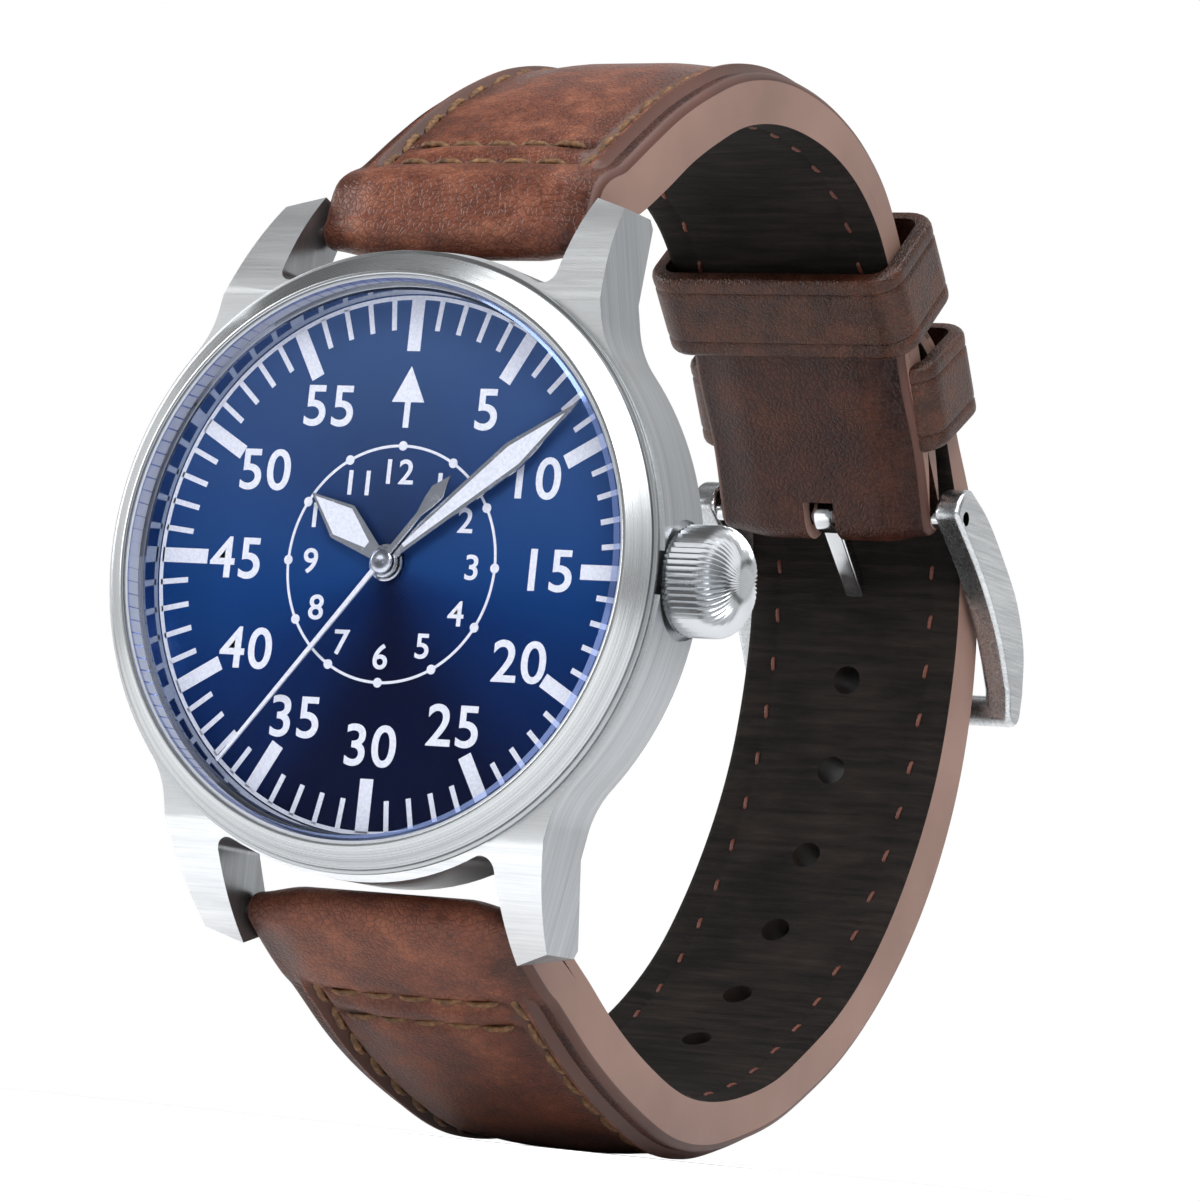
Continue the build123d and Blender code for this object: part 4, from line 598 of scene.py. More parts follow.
# Hands: pressed steel frames, bevelled and polished, each pressed onto its pipe and filled with paint.
# The seconds hand is a white painted needle with a bare steel tail and cap.
HAND_THICKNESS, HAND_BORDER = 0.16, 0.24
HOUR_ANGLE, MINUTE_ANGLE, SECOND_ANGLE = 305.7, 50.6, 218.4
NEEDLE_LENGTH, COUNTERWEIGHT, NEEDLE_HEIGHT = 16.4, 6.9, 1.12
# Hand steel: brighter than the case, soft enough in its mirror to stay grey over the dial
hand_steel = polished_steel("steel_polished_hands", "#c3c6c9", 0.22)


def hand_outline(angle, points):
    return [about_dial(angle, along, offset) for along, offset in points]


def lance(hand_name, group, height, angle, length, widest_share, width, root, hub, bore):
    """A lance-shaped frame round its window, with a bevelled hub, and the paint that fills it."""
    widest = length * widest_share
    start = hub * 0.8
    window_start, window_root = start + 0.9, (root - 0.2) / 3
    window_half, window_tip = width / 2 - HAND_BORDER, length - HAND_BORDER * length / width / 2
    rear, front = DIAL_FRONT - height, DIAL_FRONT - height - HAND_THICKNESS
    outer = ((start, root / 2), (widest, width / 2), (length, 0), (widest, -width / 2), (start, -root / 2))
    inner = (
        (window_start, window_root), (widest, window_half), (window_tip, 0),
        (widest, -window_half), (window_start, -window_root),
    )
    hand = plate(f"{hand_name}_hand_steel", hand_outline(angle, outer), rear, front)
    cut(hand, turned("collar", rod(hub, rear, front), 64), "UNION")
    cut(hand, turned("bore", rod(bore, rear + 1, front - 1), 48))
    cut(hand, plate("window", hand_outline(angle, inner), rear + 1, front - 1))
    bevel(hand, 0.045, 2, 35)
    dress(hand, group, (hand_steel,), f"{hand_name}_hand")
    smooth(hand, 35)
    paint = plate(f"{hand_name}_hand_steel_lume", hand_outline(angle, inner), rear, rear - HAND_THICKNESS * 0.8)
    dress(paint, group, (lume_paint,), f"{hand_name}_lume")


lance("hour", "hour_group", 0.45, HOUR_ANGLE, 7.2, 0.58, 2.5, 0.9, 1.15, 0.85)
lance("minute", "minute_group", 0.8, MINUTE_ANGLE, 16.1, 0.67, 1.85, 0.6, 0.95, 0.62)

rear = DIAL_FRONT - NEEDLE_HEIGHT
front = rear - HAND_THICKNESS
tail = [(-COUNTERWEIGHT * share, -half) for share, half in ((0.55, 0.17), (0.7, 0.42), (0.82, 0.52))]
second_outline = [(0, 0.16), (NEEDLE_LENGTH, 0.1), (NEEDLE_LENGTH, -0.1), (0, -0.16), *tail, (-COUNTERWEIGHT, 0)]
second_outline += [(along, -offset) for along, offset in reversed(tail)]
second_hand = plate("second_hand_needle", hand_outline(SECOND_ANGLE, second_outline), rear, front)
cap_profile = (
    (FIRST_TURN, rear), (0.75, rear), (0.75, front), (0.68, front - 0.05), (0.3, front - 0.06),
    (0.2, front - 0.02), (FIRST_TURN, front - 0.02),
)
cut(second_hand, turned("second_hand_cap", cap_profile, 64), "UNION")
bevel(second_hand, 0.03, 2, 35)
dress(second_hand, "seconds_group", (hand_steel, lume_paint), "second_hand")
ahead = Vector((sin(radians(SECOND_ANGLE)), 0, cos(radians(SECOND_ANGLE))))
for face in second_hand.data.polygons:
    if face.center.dot(ahead) > 0.8 * MM:
        face.material_index = 1
smooth(second_hand, 35)

# Crown: turned steel, its fine flutes milled along the barrel and out over the domed end.
# It is screwed onto the winding stem, and its socket slides over the tube in the case.
CROWN_BASE, CROWN_LENGTH, FLUTES, FLUTE_DEPTH = 19.35, 4.1, 52, 0.18
SOCKET_RADIUS, SOCKET_DEPTH, PLAIN_MIDDLE = 1.6, 2.7, 1.0
# Crown steel: satin, so that each flute shows a light and a dark side
crown_steel = polished_steel("steel_satin_crown", "#b4b7ba", 0.2)
crown_profile = [(SOCKET_RADIUS, CROWN_BASE), (CROWN_RADIUS * 0.93, CROWN_BASE)]
crown_profile += [(CROWN_RADIUS, CROWN_BASE + rise) for rise in (0.4, CROWN_LENGTH * 0.3, CROWN_LENGTH * 0.55)]
for step in range(1, 12):
    turn = radians(90 * step / 12)
    rise = CROWN_LENGTH * (0.55 + 0.45 * sin(turn))
    crown_profile.append((CROWN_RADIUS * cos(turn) ** 0.75, CROWN_BASE + rise))
crown_profile += [(FIRST_TURN, CROWN_BASE + CROWN_LENGTH)]
crown = turned("crown_fluted_steel", crown_profile, FLUTES * 6, "X", CROWN_CENTRE)
for vertex in crown.data.vertices:
    place = vertex.co / MM - Vector(CROWN_CENTRE)
    radius = hypot(place.y, place.z)
    if radius < PLAIN_MIDDLE:
        continue
    # Flutes are full on the barrel and die out towards the middle of the end
    share = atan2(place.z, place.y) / (2 * pi) * FLUTES % 1
    depth = FLUTE_DEPTH * (1 - abs(2 * share - 1)) * min(1.0, (radius - PLAIN_MIDDLE) / 1.6)
    vertex.co.y -= depth * place.y / radius * MM
    vertex.co.z -= depth * place.z / radius * MM
    if place.x > CROWN_BASE + CROWN_LENGTH * 0.6:
        vertex.co.x -= depth * 0.9 * MM
select(crown)
bpy.ops.object.mode_set(mode="EDIT")
bpy.ops.mesh.select_all(action="DESELECT")
bpy.ops.mesh.select_non_manifold()
bpy.ops.mesh.edge_face_add()
face_outward()
socket = rod(SOCKET_RADIUS, CROWN_BASE - 1, CROWN_BASE + SOCKET_DEPTH)
cut(crown, turned("crown_socket", socket, 64, "X", CROWN_CENTRE))
dress(crown, "crown_group", (crown_steel,), "crown")
smooth(crown, 22)

# Strap: two lengths of oiled cowhide, cut wide at the lugs and narrow at the buckle, padded inside.
# Each length wraps its spring bar, and the short one the buckle's bar; the cut edges are painted.
# Rows are (angle on the loop, lining's share of the loop radius, leather's share, width's share).
LOOP_DEPTH, LOOP_RISE, LOOP_RADIUS = 28.4, 2.0, 36.0
HALF_STRAP, LEATHER, LINING = 9.68, 3.6, 1.0
WRAP_RADIUS, WRAP_LEATHER, BAR_SLEEVE = 1.7, 2.4, BAR_RADIUS + 0.03
BUCKLE_BAR = (53.997, 12.897)
ROW_STEP, LINING_STEP = 0.55, 0.8
SHORT_ROWS = (
    (144.0, 0.967, 0.930, 1.0), (139.2, 0.935, 0.990, 1.0), (132.8, 0.916, 1.017, 1.0),
    (125.6, 0.912, 0.980, 0.995), (119.0, 0.911, 0.945, 0.99), (112.0, 0.914, 0.905, 0.98),
    (104.4, 0.909, 0.890, 0.97), (93.5, 0.896, 0.860, 0.95), (85.7, 0.887, 0.830, 0.935),
    (77.5, 0.874, 0.830, 0.915), (69.9, 0.856, 0.840, 0.89), (60.0, 0.811, 0.810, 0.87),
    (54.0, 0.781, 0.800, 0.865), (47.0, 0.755, 0.780, 0.86), (34.0, 0.747, 0.640, 0.86),
)
LONG_ROWS = (
    (-138.0, 0.984, 0.930, 1.0), (-132.0, 0.947, 1.000, 1.0), (-124.0, 0.929, 0.970, 1.0),
    (-113.0, 0.915, 0.920, 0.99), (-101.0, 0.909, 0.900, 0.97), (-93.0, 0.896, 0.880, 0.94),
    (-84.8, 0.882, 0.820, 0.915), (-75.2, 0.868, 0.820, 0.90), (-66.0, 0.854, 0.870, 0.88),
    (-55.5, 0.850, 0.920, 0.87), (-46.0, 0.848, 0.980, 0.863), (-36.0, 0.845, 1.080, 0.863),
    (-28.0, 0.846, 1.150, 0.863), (-12.0, 0.857, 1.180, 0.863), (-3.0, 0.862, 1.160, 0.863),
    (6.0, 0.870, 1.060, 0.863), (14.0, 0.876, 0.920, 0.863), (22.0, 0.874, 0.780, 0.86),
    (30.0, 0.867, 0.611, 0.85), (40.0, 0.861, 0.528, 0.85), (46.0, 0.870, 0.444, 0.81),
    (52.5, 0.889, 0.306, 0.53),
)
FLAP_ROWS = ((34.0, 0.722, 0.53, 0.86), (47.0, 0.731, 0.53, 0.86), (57.0, 0.786, 0.36, 0.86))
EDGE_COLUMNS = (0.0, 0.1, 0.25, 0.45, 0.8, 1.15, 1.4, 1.6, 1.8, 2.0, 2.2, 2.4, 2.65, 2.9, 3.3, 3.8)
STITCH_INSET, CROSS_HALF = 2.45, 6.4
CROSS_PITCH = 2.45


def ray(angle):
    return Vector((0, cos(radians(angle)), sin(radians(angle))))


def loop_row(angle, inner, outer, half_width):
    """A row across the strap on a ray from the loop's centre: its inner point, outer point and half width."""
    centre = Vector((0, LOOP_DEPTH, LOOP_RISE))
    return (centre + ray(angle) * inner, centre + ray(angle) * outer, half_width)


def rod_rows(centre, start, turn, steps, inner, outer, half_width):
    """Rows where the leather wraps a rod, from a start angle round by a turn."""
    middle = Vector((0, *centre))
    rays = [ray(start + turn * i / steps) for i in range(steps + 1)]
    return [(middle + r * inner, middle + r * outer, half_width) for r in rays]


def bar_place(side):
    """The angle of a spring bar on the loop (side 1 at twelve, -1 at six), and its reach from the centre."""
    rise, depth = side * BAR_REACH - LOOP_RISE, -BAR_DEPTH - LOOP_DEPTH
    return degrees(atan2(rise, depth)), hypot(rise, depth)


def wrapped_end(side):
    """Rows of the leather round its spring bar, and the first one past it."""
    angle, reach = bar_place(side)
    bar = (-BAR_DEPTH, side * BAR_REACH)
    wrap = rod_rows(bar, angle + side * 175, -side * 175, 12, BAR_SLEEVE, WRAP_RADIUS, HALF_STRAP)
    return [*wrap[:-1], loop_row(angle, reach + WRAP_RADIUS - WRAP_LEATHER, reach + WRAP_RADIUS, HALF_STRAP)]


def leather_rows(table):
    splits = [LOOP_RADIUS * share + LINING for _, share, _, _ in table]
    return [
        loop_row(angle, split, split + LEATHER * thick, HALF_STRAP * wide)
        for split, (angle, _, thick, wide) in zip(splits, table)
    ]


def smooth_rows(rows, step=ROW_STEP):
    """Rows on a smooth curve through the given ones, about a step apart."""
    gaps = [max((b[1] - a[1]).length, (b[0] - a[0]).length, 0.01) for a, b in zip(rows, rows[1:])]
    slopes = []
    for i, row in enumerate(rows):
        before, after = rows[max(0, i - 1)], rows[min(len(rows) - 1, i + 1)]
        back, ahead = gaps[max(0, i - 1)], gaps[min(len(gaps) - 1, i)]
        slope = []
        for k in range(3):
            if i in (0, len(rows) - 1):
                slope.append((after[k] - before[k]) * (1 / ahead))
            else:
                rise = (row[k] - before[k]) * (ahead / back) + (after[k] - row[k]) * (back / ahead)
                slope.append(rise * (1 / (back + ahead)))
        slopes.append(slope)
    found = []
    for i, gap in enumerate(gaps):
        count = max(1, round(gap / step))
        for j in range(count):
            t = j / count
            start, end = 1 - 3 * t**2 + 2 * t**3, 3 * t**2 - 2 * t**3
            leave, arrive = (t - 2 * t**2 + t**3) * gap, (t**3 - t**2) * gap
            low, high, out, back = rows[i], rows[i + 1], slopes[i], slopes[i + 1]
            found.append([low[k] * start + high[k] * end + out[k] * leave + back[k] * arrive for k in range(3)])
    return found + [rows[-1]]


def ribbon(name, rows, edge, middle_steps, relief, across=Vector((1, 0, 0)), closed=False):
    """A leather strip: a grid extruded to its thickness and moved onto rows of inner and outer points.

    relief(distance from the edge, half width, length along) lowers the outer face, in mm. How far it
    does is kept in the attribute "sunk", and the UV map is in metres across and along the strip.
    """
    columns = 2 * (len(edge) - 1) + middle_steps
    last = len(edge) - 1
    select()
    bpy.ops.mesh.primitive_grid_add(size=1, x_subdivisions=columns, y_subdivisions=len(rows) - 1)
    strip = bpy.context.object
    strip.name = name
    bpy.ops.object.mode_set(mode="EDIT")
    bpy.ops.mesh.select_all(action="SELECT")
    bpy.ops.mesh.extrude_region_move(TRANSFORM_OT_translate={"value": (0, 0, 1)})
    bpy.ops.object.mode_set(mode="OBJECT")
    lengths = [0.0]
    for low, high in zip(rows, rows[1:]):
        lengths.append(lengths[-1] + (high[1] - low[1]).length)
    uv = {}
    drops = []
    for vertex in strip.data.vertices:
        column = round((vertex.co.x + 0.5) * columns)
        row = round((vertex.co.y + 0.5) * (len(rows) - 1))
        inner, outer, half_width = rows[row]
        if column <= last:
            offset = edge[column] - half_width
        elif column >= columns - last:
            offset = half_width - edge[columns - column]
        else:
            offset = (half_width - edge[last]) * (2 * (column - last) / middle_steps - 1)
        if vertex.co.z > 0.5:
            drop = relief(half_width - abs(offset), half_width, lengths[row])
            point = outer + (inner - outer).normalized() * drop
        else:
            drop = 0.6
            point = inner
        drops.append(drop)
        uv[vertex.index] = (offset * MM, lengths[row] * MM)
        vertex.co = (point + across * offset) * MM
    strip.data.attributes.new("sunk", "FLOAT", "POINT").data.foreach_set("value", drops)
    layer = strip.data.uv_layers.active or strip.data.uv_layers.new(name="strip")
    for loop in strip.data.loops:
        layer.data[loop.index].uv = uv[loop.vertex_index]
    bpy.ops.object.mode_set(mode="EDIT")
    bpy.ops.mesh.select_all(action="SELECT")
    if closed:
        bpy.ops.mesh.remove_doubles(threshold=0.001 * MM)
        bpy.ops.mesh.select_all(action="DESELECT")
        bpy.ops.mesh.select_interior_faces()
        bpy.ops.mesh.delete(type="FACE")
    face_outward()
    return strip, lengths


def ease(value, start, end):
    """0 before start, 1 after end, and a smooth step between."""
    share = min(1.0, max(0.0, (value - start) / (end - start)))
    return share * share * (3 - 2 * share)


def bell(value, centre, width):
    return max(0.0, 1 - ((value - centre) / width) ** 2) ** 2


def strap_relief(cross_rows, plain_from):
    """The outer face's drop: rounded edges, sunk border, cord-like ridge, stitch channel and padded middle."""
    first, second = cross_rows

    def drop(distance, half_width, along):
        sewn = ease(along, first - 1.2, first + 0.6) * (1 - ease(along, plain_from - 3, plain_from))
        rounding = 0.5 * max(0.0, 1 - distance / 0.45) ** 2
        border = 0.35 * (1 - ease(distance, 1.2, 1.6))
        ridge = 0.28 * bell(distance, 1.72, 0.5)
        channel = 0.3 * bell(distance, STITCH_INSET, 0.5)
        crown = 0.35 * (1 - ease(distance, 2.6, 7.0))
        inside = 1 - ease(half_width - distance, CROSS_HALF, CROSS_HALF + 0.5)
        cross = 0.26 * (bell(along, first, 0.75) + bell(along, second, 0.75)) * inside
        pad = 0.22 * bell(along, (first + second) / 2, (second - first) / 2) * inside
        plain = rounding + 0.55 * (1 - ease(distance, 0.2, 4.0)) * (1 - sewn)
        return plain + sewn * (border - ridge + channel + crown) + cross - pad

    return drop


def length_at(rows, angle):
    """The length along a strap's outer face at which it crosses the ray at an angle, past its wrapped end."""
    total = 0.0
    for low, high in zip(rows, rows[1:]):
        total += (high[1] - low[1]).length
        middle = high[1] - Vector((0, LOOP_DEPTH, LOOP_RISE))
        if middle.length > 30 and high[1].y > -BAR_DEPTH and abs(degrees(atan2(middle.z, middle.y))) < abs(angle):
            return total
    return total


def tinted(tree, colour, tint, share=1.0):
    """A colour multiplied by a tint."""
    settings = {"data_type": "RGBA", "blend_type": "MULTIPLY", "Factor": share}
    return add_node(tree, "ShaderNodeMix", settings, {6: colour, 7: tint}).outputs[2]


def oiled_leather(name, tones, gloss, scale=1.0):
    """Oiled cowhide: brown clouds, dark pores, fine grain and a wax sheen, darker where sunk, with painted shade
    towards the back of the loop.
    """
    material, tree, place = new_material(name)
    clouds = noise(tree, place, 260.0 * scale, 9.0, {"Roughness": 0.72})
    tone = colour_ramp(tree, clouds, (0.32, tones[0]), (0.5, tones[1]), (0.66, tones[2]))
    wander = add_node(tree, "ShaderNodeTexNoise", {"Scale": 900.0 * scale, "Detail": 3.0}, {"Vector": place})
    links = {"A": place, "B": wander.outputs["Color"]}
    shifted = add_node(tree, "ShaderNodeMix", {"data_type": "VECTOR", "Factor": 0.0008}, links).outputs[1]
    settings = {"feature": "DISTANCE_TO_EDGE", "Scale": 2400.0 * scale}
    grain = add_node(tree, "ShaderNodeTexVoronoi", settings, {"Vector": shifted}).outputs["Distance"]
    pebble = ranged(tree, grain, 0.0, 1.0, 0.0, 0.22, {"interpolation_type": "SMOOTHSTEP"})
    creases = noise(tree, place, 1100.0 * scale, 7.0, {"Roughness": 0.7})
    height = add_node(tree, "ShaderNodeMix", {"Factor": 0.45}, {"A": pebble, "B": creases}).outputs["Result"]
    pores = colour_ramp(tree, height, (0.1, "#94827a"), (0.5, "#ffffff"))
    sunk = add_node(tree, "ShaderNodeAttribute", {"attribute_name": "sunk"}).outputs["Fac"]
    # Darker where the outer face is sunk
    darker_where_sunk = colour_ramp(tree, sunk, (0.15, "#ffffff"), (0.75, "#8a7468"))
    # Painted shade: the leather darkens towards the back of the loop, from 24 to 38 mm along Y
    depth = add_node(tree, "ShaderNodeSeparateXYZ", links={0: place}).outputs["Y"]
    painted_shade_at_back = colour_ramp(tree, ranged(tree, depth, 0.0, 1.0, 24 * MM, 38 * MM), (0.0, "#ffffff"), (1.0, "#978a82"))
    links = {
        "Base Color": tinted(tree, tinted(tree, tinted(tree, tone, pores, 0.75), darker_where_sunk), painted_shade_at_back),
        "Roughness": ranged(tree, clouds, gloss - 0.08, gloss + 0.12, 0.3, 0.7),
        "Normal": raised(tree, height, 0.6, 0.08),
    }
    show(tree, "ShaderNodeBsdfPrincipled", {"Specular IOR Level": 0.3}, links)
    return material


def painted_edge(name, dark, light):
    """Sanded, stained and waxed leather edge: two close tones in faint layers, with a low sheen."""
    material, tree, place = new_material(name)
    links = {
        "Base Color": colour_ramp(tree, noise(tree, place, 90.0, 3.0), (0.3, dark), (0.7, light)),
        "Normal": raised(tree, noise(tree, place, 2600.0, 3.0), 0.2, 0.04),
    }
    show(tree, "ShaderNodeBsdfPrincipled", {"Roughness": 0.5, "Specular IOR Level": 0.35}, links)
    return material


# Leather: warm red-brown; its edges are pale brown paint with a dark burnished line; its hole walls are near black,
# painted shade
outer_leather = oiled_leather("leather_oiled_brown", ("#401f14", "#623423", "#804c35"), 0.38)
edge_paint = painted_edge("edge_paint_pale_brown", "#765c52", "#896c61")
dark_edge = painted_edge("edge_line_dark_brown", "#3a221b", "#543329")
painted_hole_shade = painted_edge("punched_hole_wall_painted_shade", "#15110f", "#2a211d")

fold_rows = rod_rows(BUCKLE_BAR, 30.0, -190.0, 14, 0.85, 1.8, HALF_STRAP * 0.86)
flap = [
    loop_row(angle, LOOP_RADIUS * share + LEATHER * thick, LOOP_RADIUS * share, HALF_STRAP * wide)
    for angle, share, thick, wide in FLAP_ROWS
]
short_path = smooth_rows([*wrapped_end(1), *leather_rows(SHORT_ROWS), *fold_rows, *flap])
long_path = smooth_rows([*wrapped_end(-1), *leather_rows(LONG_ROWS)])
short_cross = (length_at(short_path, 140.8), length_at(short_path, 136.2))
long_cross = (length_at(long_path, -134.2), length_at(long_path, -130.4))
relief = strap_relief(short_cross, length_at(short_path, 36.0))
short_outer, short_lengths = ribbon("strap_short_leather", short_path, EDGE_COLUMNS, 12, relief)
relief = strap_relief(long_cross, 999)
long_outer, long_lengths = ribbon("strap_long_leather", long_path, EDGE_COLUMNS, 12, relief)

# Linings: thin dark calf, glued to the padding and sewn through with the outer leather.
# Wear has creased them across.
LINING_COLUMNS = (0.0, 0.12, 0.3, 0.5, 1.2, 1.9, 2.2, 2.5, 3.2)
# Lining calf: near-black brown and matt, with cross creases in its height and colour
creased, tree, place = new_material("leather_dark_lining")
strip_place = place.node.outputs["UV"]
across_lines = add_node(tree, "ShaderNodeMapping", {"Scale": (160, 1500, 1)}, {"Vector": strip_place}).outputs[0]
creases = noise(tree, across_lines, 1.0, 7.0, {"Roughness": 0.68, "Distortion": 0.4})
wear = noise(tree, strip_place, 140.0, 3.0)
both = add_node(tree, "ShaderNodeMix", {"Factor": 0.4}, {"A": creases, "B": wear}).outputs["Result"]
colour = colour_ramp(tree, both, (0.36, "#090706"), (0.5, "#181412"), (0.66, "#28211e"))
show(
    tree, "ShaderNodeBsdfPrincipled", {"Roughness": 0.75, "Specular IOR Level": 0.12},
    {"Base Color": colour, "Normal": raised(tree, creases, 1.0, 0.3)},
)


def lining_relief(distance, half_width, along):
    return 0.15 * max(0.0, 1 - distance / 0.45) ** 2 + 0.12 * bell(distance, 2.2, 0.4)


def lining_path(side, table, end=()):
    """The lining's rows, with the point that faces the wrist as the outer one."""
    angle, reach = bar_place(side)
    split = reach + WRAP_RADIUS - WRAP_LEATHER
    rows = [loop_row(angle - side * 2.2, split - LINING, split, HALF_STRAP)]
    for row_angle, share, _, wide in table:
        split = LOOP_RADIUS * share + LINING
        rows.append(loop_row(row_angle, split - LINING, split, HALF_STRAP * wide))
    return smooth_rows([(outer, inner, half) for inner, outer, half in [*rows, *end]], LINING_STEP)


lining_end = loop_row(59.0, LOOP_RADIUS * 0.811, LOOP_RADIUS * 0.811 + LINING, HALF_STRAP * 0.87)
short_lining_path = lining_path(1, SHORT_ROWS[:11], [lining_end])
long_lining_path = lining_path(-1, LONG_ROWS)
short_lining, short_lining_lengths = ribbon(
    "strap_short_lining_calf", short_lining_path, LINING_COLUMNS, 6, lining_relief
)
long_lining, long_lining_lengths = ribbon("strap_long_lining_calf", long_lining_path, LINING_COLUMNS, 6, lining_relief)

# Holes: six round ones punched through the long strap and its lining after gluing.
# The short strap's fold has a notch for the tongue.
HOLE_ANGLES = (-0.9, -13.6, -26.7, -39.7, -53.0, -65.4)
HOLE_RADIUS, PUNCH_LENGTH = 1.05, 14
NOTCH_RADIUS, NOTCH_HALF = 2.3, 1.2


def punch(strip):
    """Punches the six holes with one tool, made of six rods along their rays."""
    rods = []
    for angle in HOLE_ANGLES:
        select()
        bpy.ops.mesh.primitive_cylinder_add(vertices=28, radius=HOLE_RADIUS * MM, depth=PUNCH_LENGTH * MM)
        middle = Vector((0, LOOP_DEPTH, LOOP_RISE)) + ray(angle) * (LOOP_RADIUS * 0.8 + 6)
        turn = ray(angle).to_track_quat("Z", "X").to_matrix().to_4x4()
        bpy.context.object.matrix_world = Matrix.Translation(middle * MM) @ turn
        rods.append(bpy.context.object)
    tool = join("punch", rods)
    bpy.ops.object.transform_apply(location=True, rotation=True, scale=True)
    cut(strip, tool)


def paint_edges(strip, side_share, rounding_share):
    """Side faces get the painted edge, the rounding above them its dark line, and the holes' walls a near black
    painted shade.
    """
    for face in strip.data.polygons:
        radial = (face.center - Vector((0, LOOP_DEPTH, LOOP_RISE)) * MM).normalized()
        # Hole walls: near black painted shade
        if abs(face.center.x) < 1.2 * MM and face.center.y > 38 * MM and abs(face.normal.dot(radial)) < 0.5:
            face.material_index = len(strip.data.materials) - 1
        elif face.material_index == 0 and abs(face.normal.x) > side_share:
            face.material_index = 1
        elif face.material_index == 0 and abs(face.normal.x) > rounding_share:
            face.material_index = 2


punch(long_outer)
punch(long_lining)
notch = rod(NOTCH_RADIUS, -NOTCH_HALF, NOTCH_HALF)
cut(short_outer, turned("tongue_notch", notch, 40, "X", (0, *BUCKLE_BAR)))
for strip, node in ((short_outer, "strap_short_outer"), (long_outer, "strap_long_outer")):
    dress(strip, "case", (outer_leather, edge_paint, dark_edge, painted_hole_shade), node)
    paint_edges(strip, 0.93, 0.35)
    smooth(strip, 40)
for strip, node in ((short_lining, "strap_short_lining"), (long_lining, "strap_long_lining")):
    dress(strip, "case", (creased, edge_paint, painted_hole_shade), node)
    paint_edges(strip, 0.8, 2)
    smooth(strip, 40)

# Stitches: thick waxed thread of two strands, each stitch dipping into its holes at both ends.
# They run down both sides and twice across near the lugs; a thinner bobbin thread shows on the lining.
STITCH_LENGTH, STITCH_RADIUS, STITCH_DIP, STITCH_PITCH = 2.8, 0.25, 0.3, 3.1
BOBBIN_LENGTH, BOBBIN_RADIUS, BOBBIN_DIP, BOBBIN_PITCH, BOBBIN_INSET = 1.1, 0.13, 0.12, 3.6, 2.2
# Waxed thread: dull gold-brown, in twisted strands; the bobbin thread is red-brown
waxed_thread, tree, place = new_material("waxed_golden_thread")
strands = noise(tree, place, 2500.0, 3.0)
colour = colour_ramp(tree, strands, (0.3, "#3f2a1a"), (0.55, "#694a2e"), (0.75, "#8a6642"))
show(
    tree, "ShaderNodeBsdfPrincipled", {"Roughness": 0.6, "Specular IOR Level": 0.3},
    {"Base Color": colour, "Normal": raised(tree, strands, 0.4, 0.05)},
)
bobbin_thread = painted_edge("bobbin_red_brown_thread", "#4b271d", "#68382b")


def stitch(name, length, radius, dip):
    """One stitch along Y: a turned spindle, pressed in at its twist and bent down at its ends."""
    shares = (-0.93, -0.75, -0.5, -0.25, 0, 0.25, 0.5, 0.75, 0.93)
    spindle = [(radius * (1 - s**6) ** 0.5 + 0.02, s * length / 2) for s in shares]
    piece = turned(name, [(FIRST_TURN, -length / 2), *spindle, (FIRST_TURN, length / 2)], 10)
    for vertex in piece.data.vertices:
        place = vertex.co / MM
        share = 2 * place.y / length
        twist = 1 + 0.16 * cos(2 * atan2(place.z, place.x) - 3.2 * share * pi)
        vertex.co = Vector((place.x * twist, place.y, place.z * twist * 0.8 - dip * abs(share) ** 3)) * MM
    return piece


def sew(name, model, path, lengths, seam, material, lift, shrink=1.0):
    """Copies one stitch to each (length along, offset, heading) of a seam and joins them into one piece."""
    copies = []
    for along, offset, heading in seam:
        row = next(i for i, length in enumerate(lengths) if length >= along)
        low, high = path[row - 1], path[row]
        share = (along - lengths[row - 1]) / max(1e-6, lengths[row] - lengths[row - 1])
        point = low[1].lerp(high[1], share)
        up = (point - low[0].lerp(high[0], share)).normalized()
        forward = (high[1] - low[1]).normalized()
        across = Vector((1, 0, 0))
        side = across * cos(heading) + forward * sin(heading)
        lead = forward * cos(heading) - across * sin(heading)
        if side.cross(lead).dot(up) < 0:
            side = -side
        axes = Matrix((side, lead, side.cross(lead))).transposed()
        piece = bpy.data.objects.new(name, model.data.copy())
        place = Matrix.Translation((point + up * lift + across * offset) * MM) @ axes.to_4x4()
        piece.matrix_world = place @ Matrix.Diagonal((shrink, shrink, shrink, 1))
        bpy.context.scene.collection.objects.link(piece)
        copies.append(piece)
    joined = join(name, copies)
    bpy.ops.object.transform_apply(location=True, rotation=True, scale=True)
    dress(joined, "case", (material,))
    smooth(joined, 60)


def side_seams(path, lengths, start, end, pitch, inset):
    """Stitch places down both sides of a strap, slightly askew as a saddle stitch lies."""
    seam = []
    for i in range(int((end - start) / pitch) + 1):
        along = start + i * pitch
        row = next(k for k, length in enumerate(lengths) if length >= along)
        seam += [(along, side * (path[row][2] - inset), side * radians(-7)) for side in (1, -1)]
    return seam


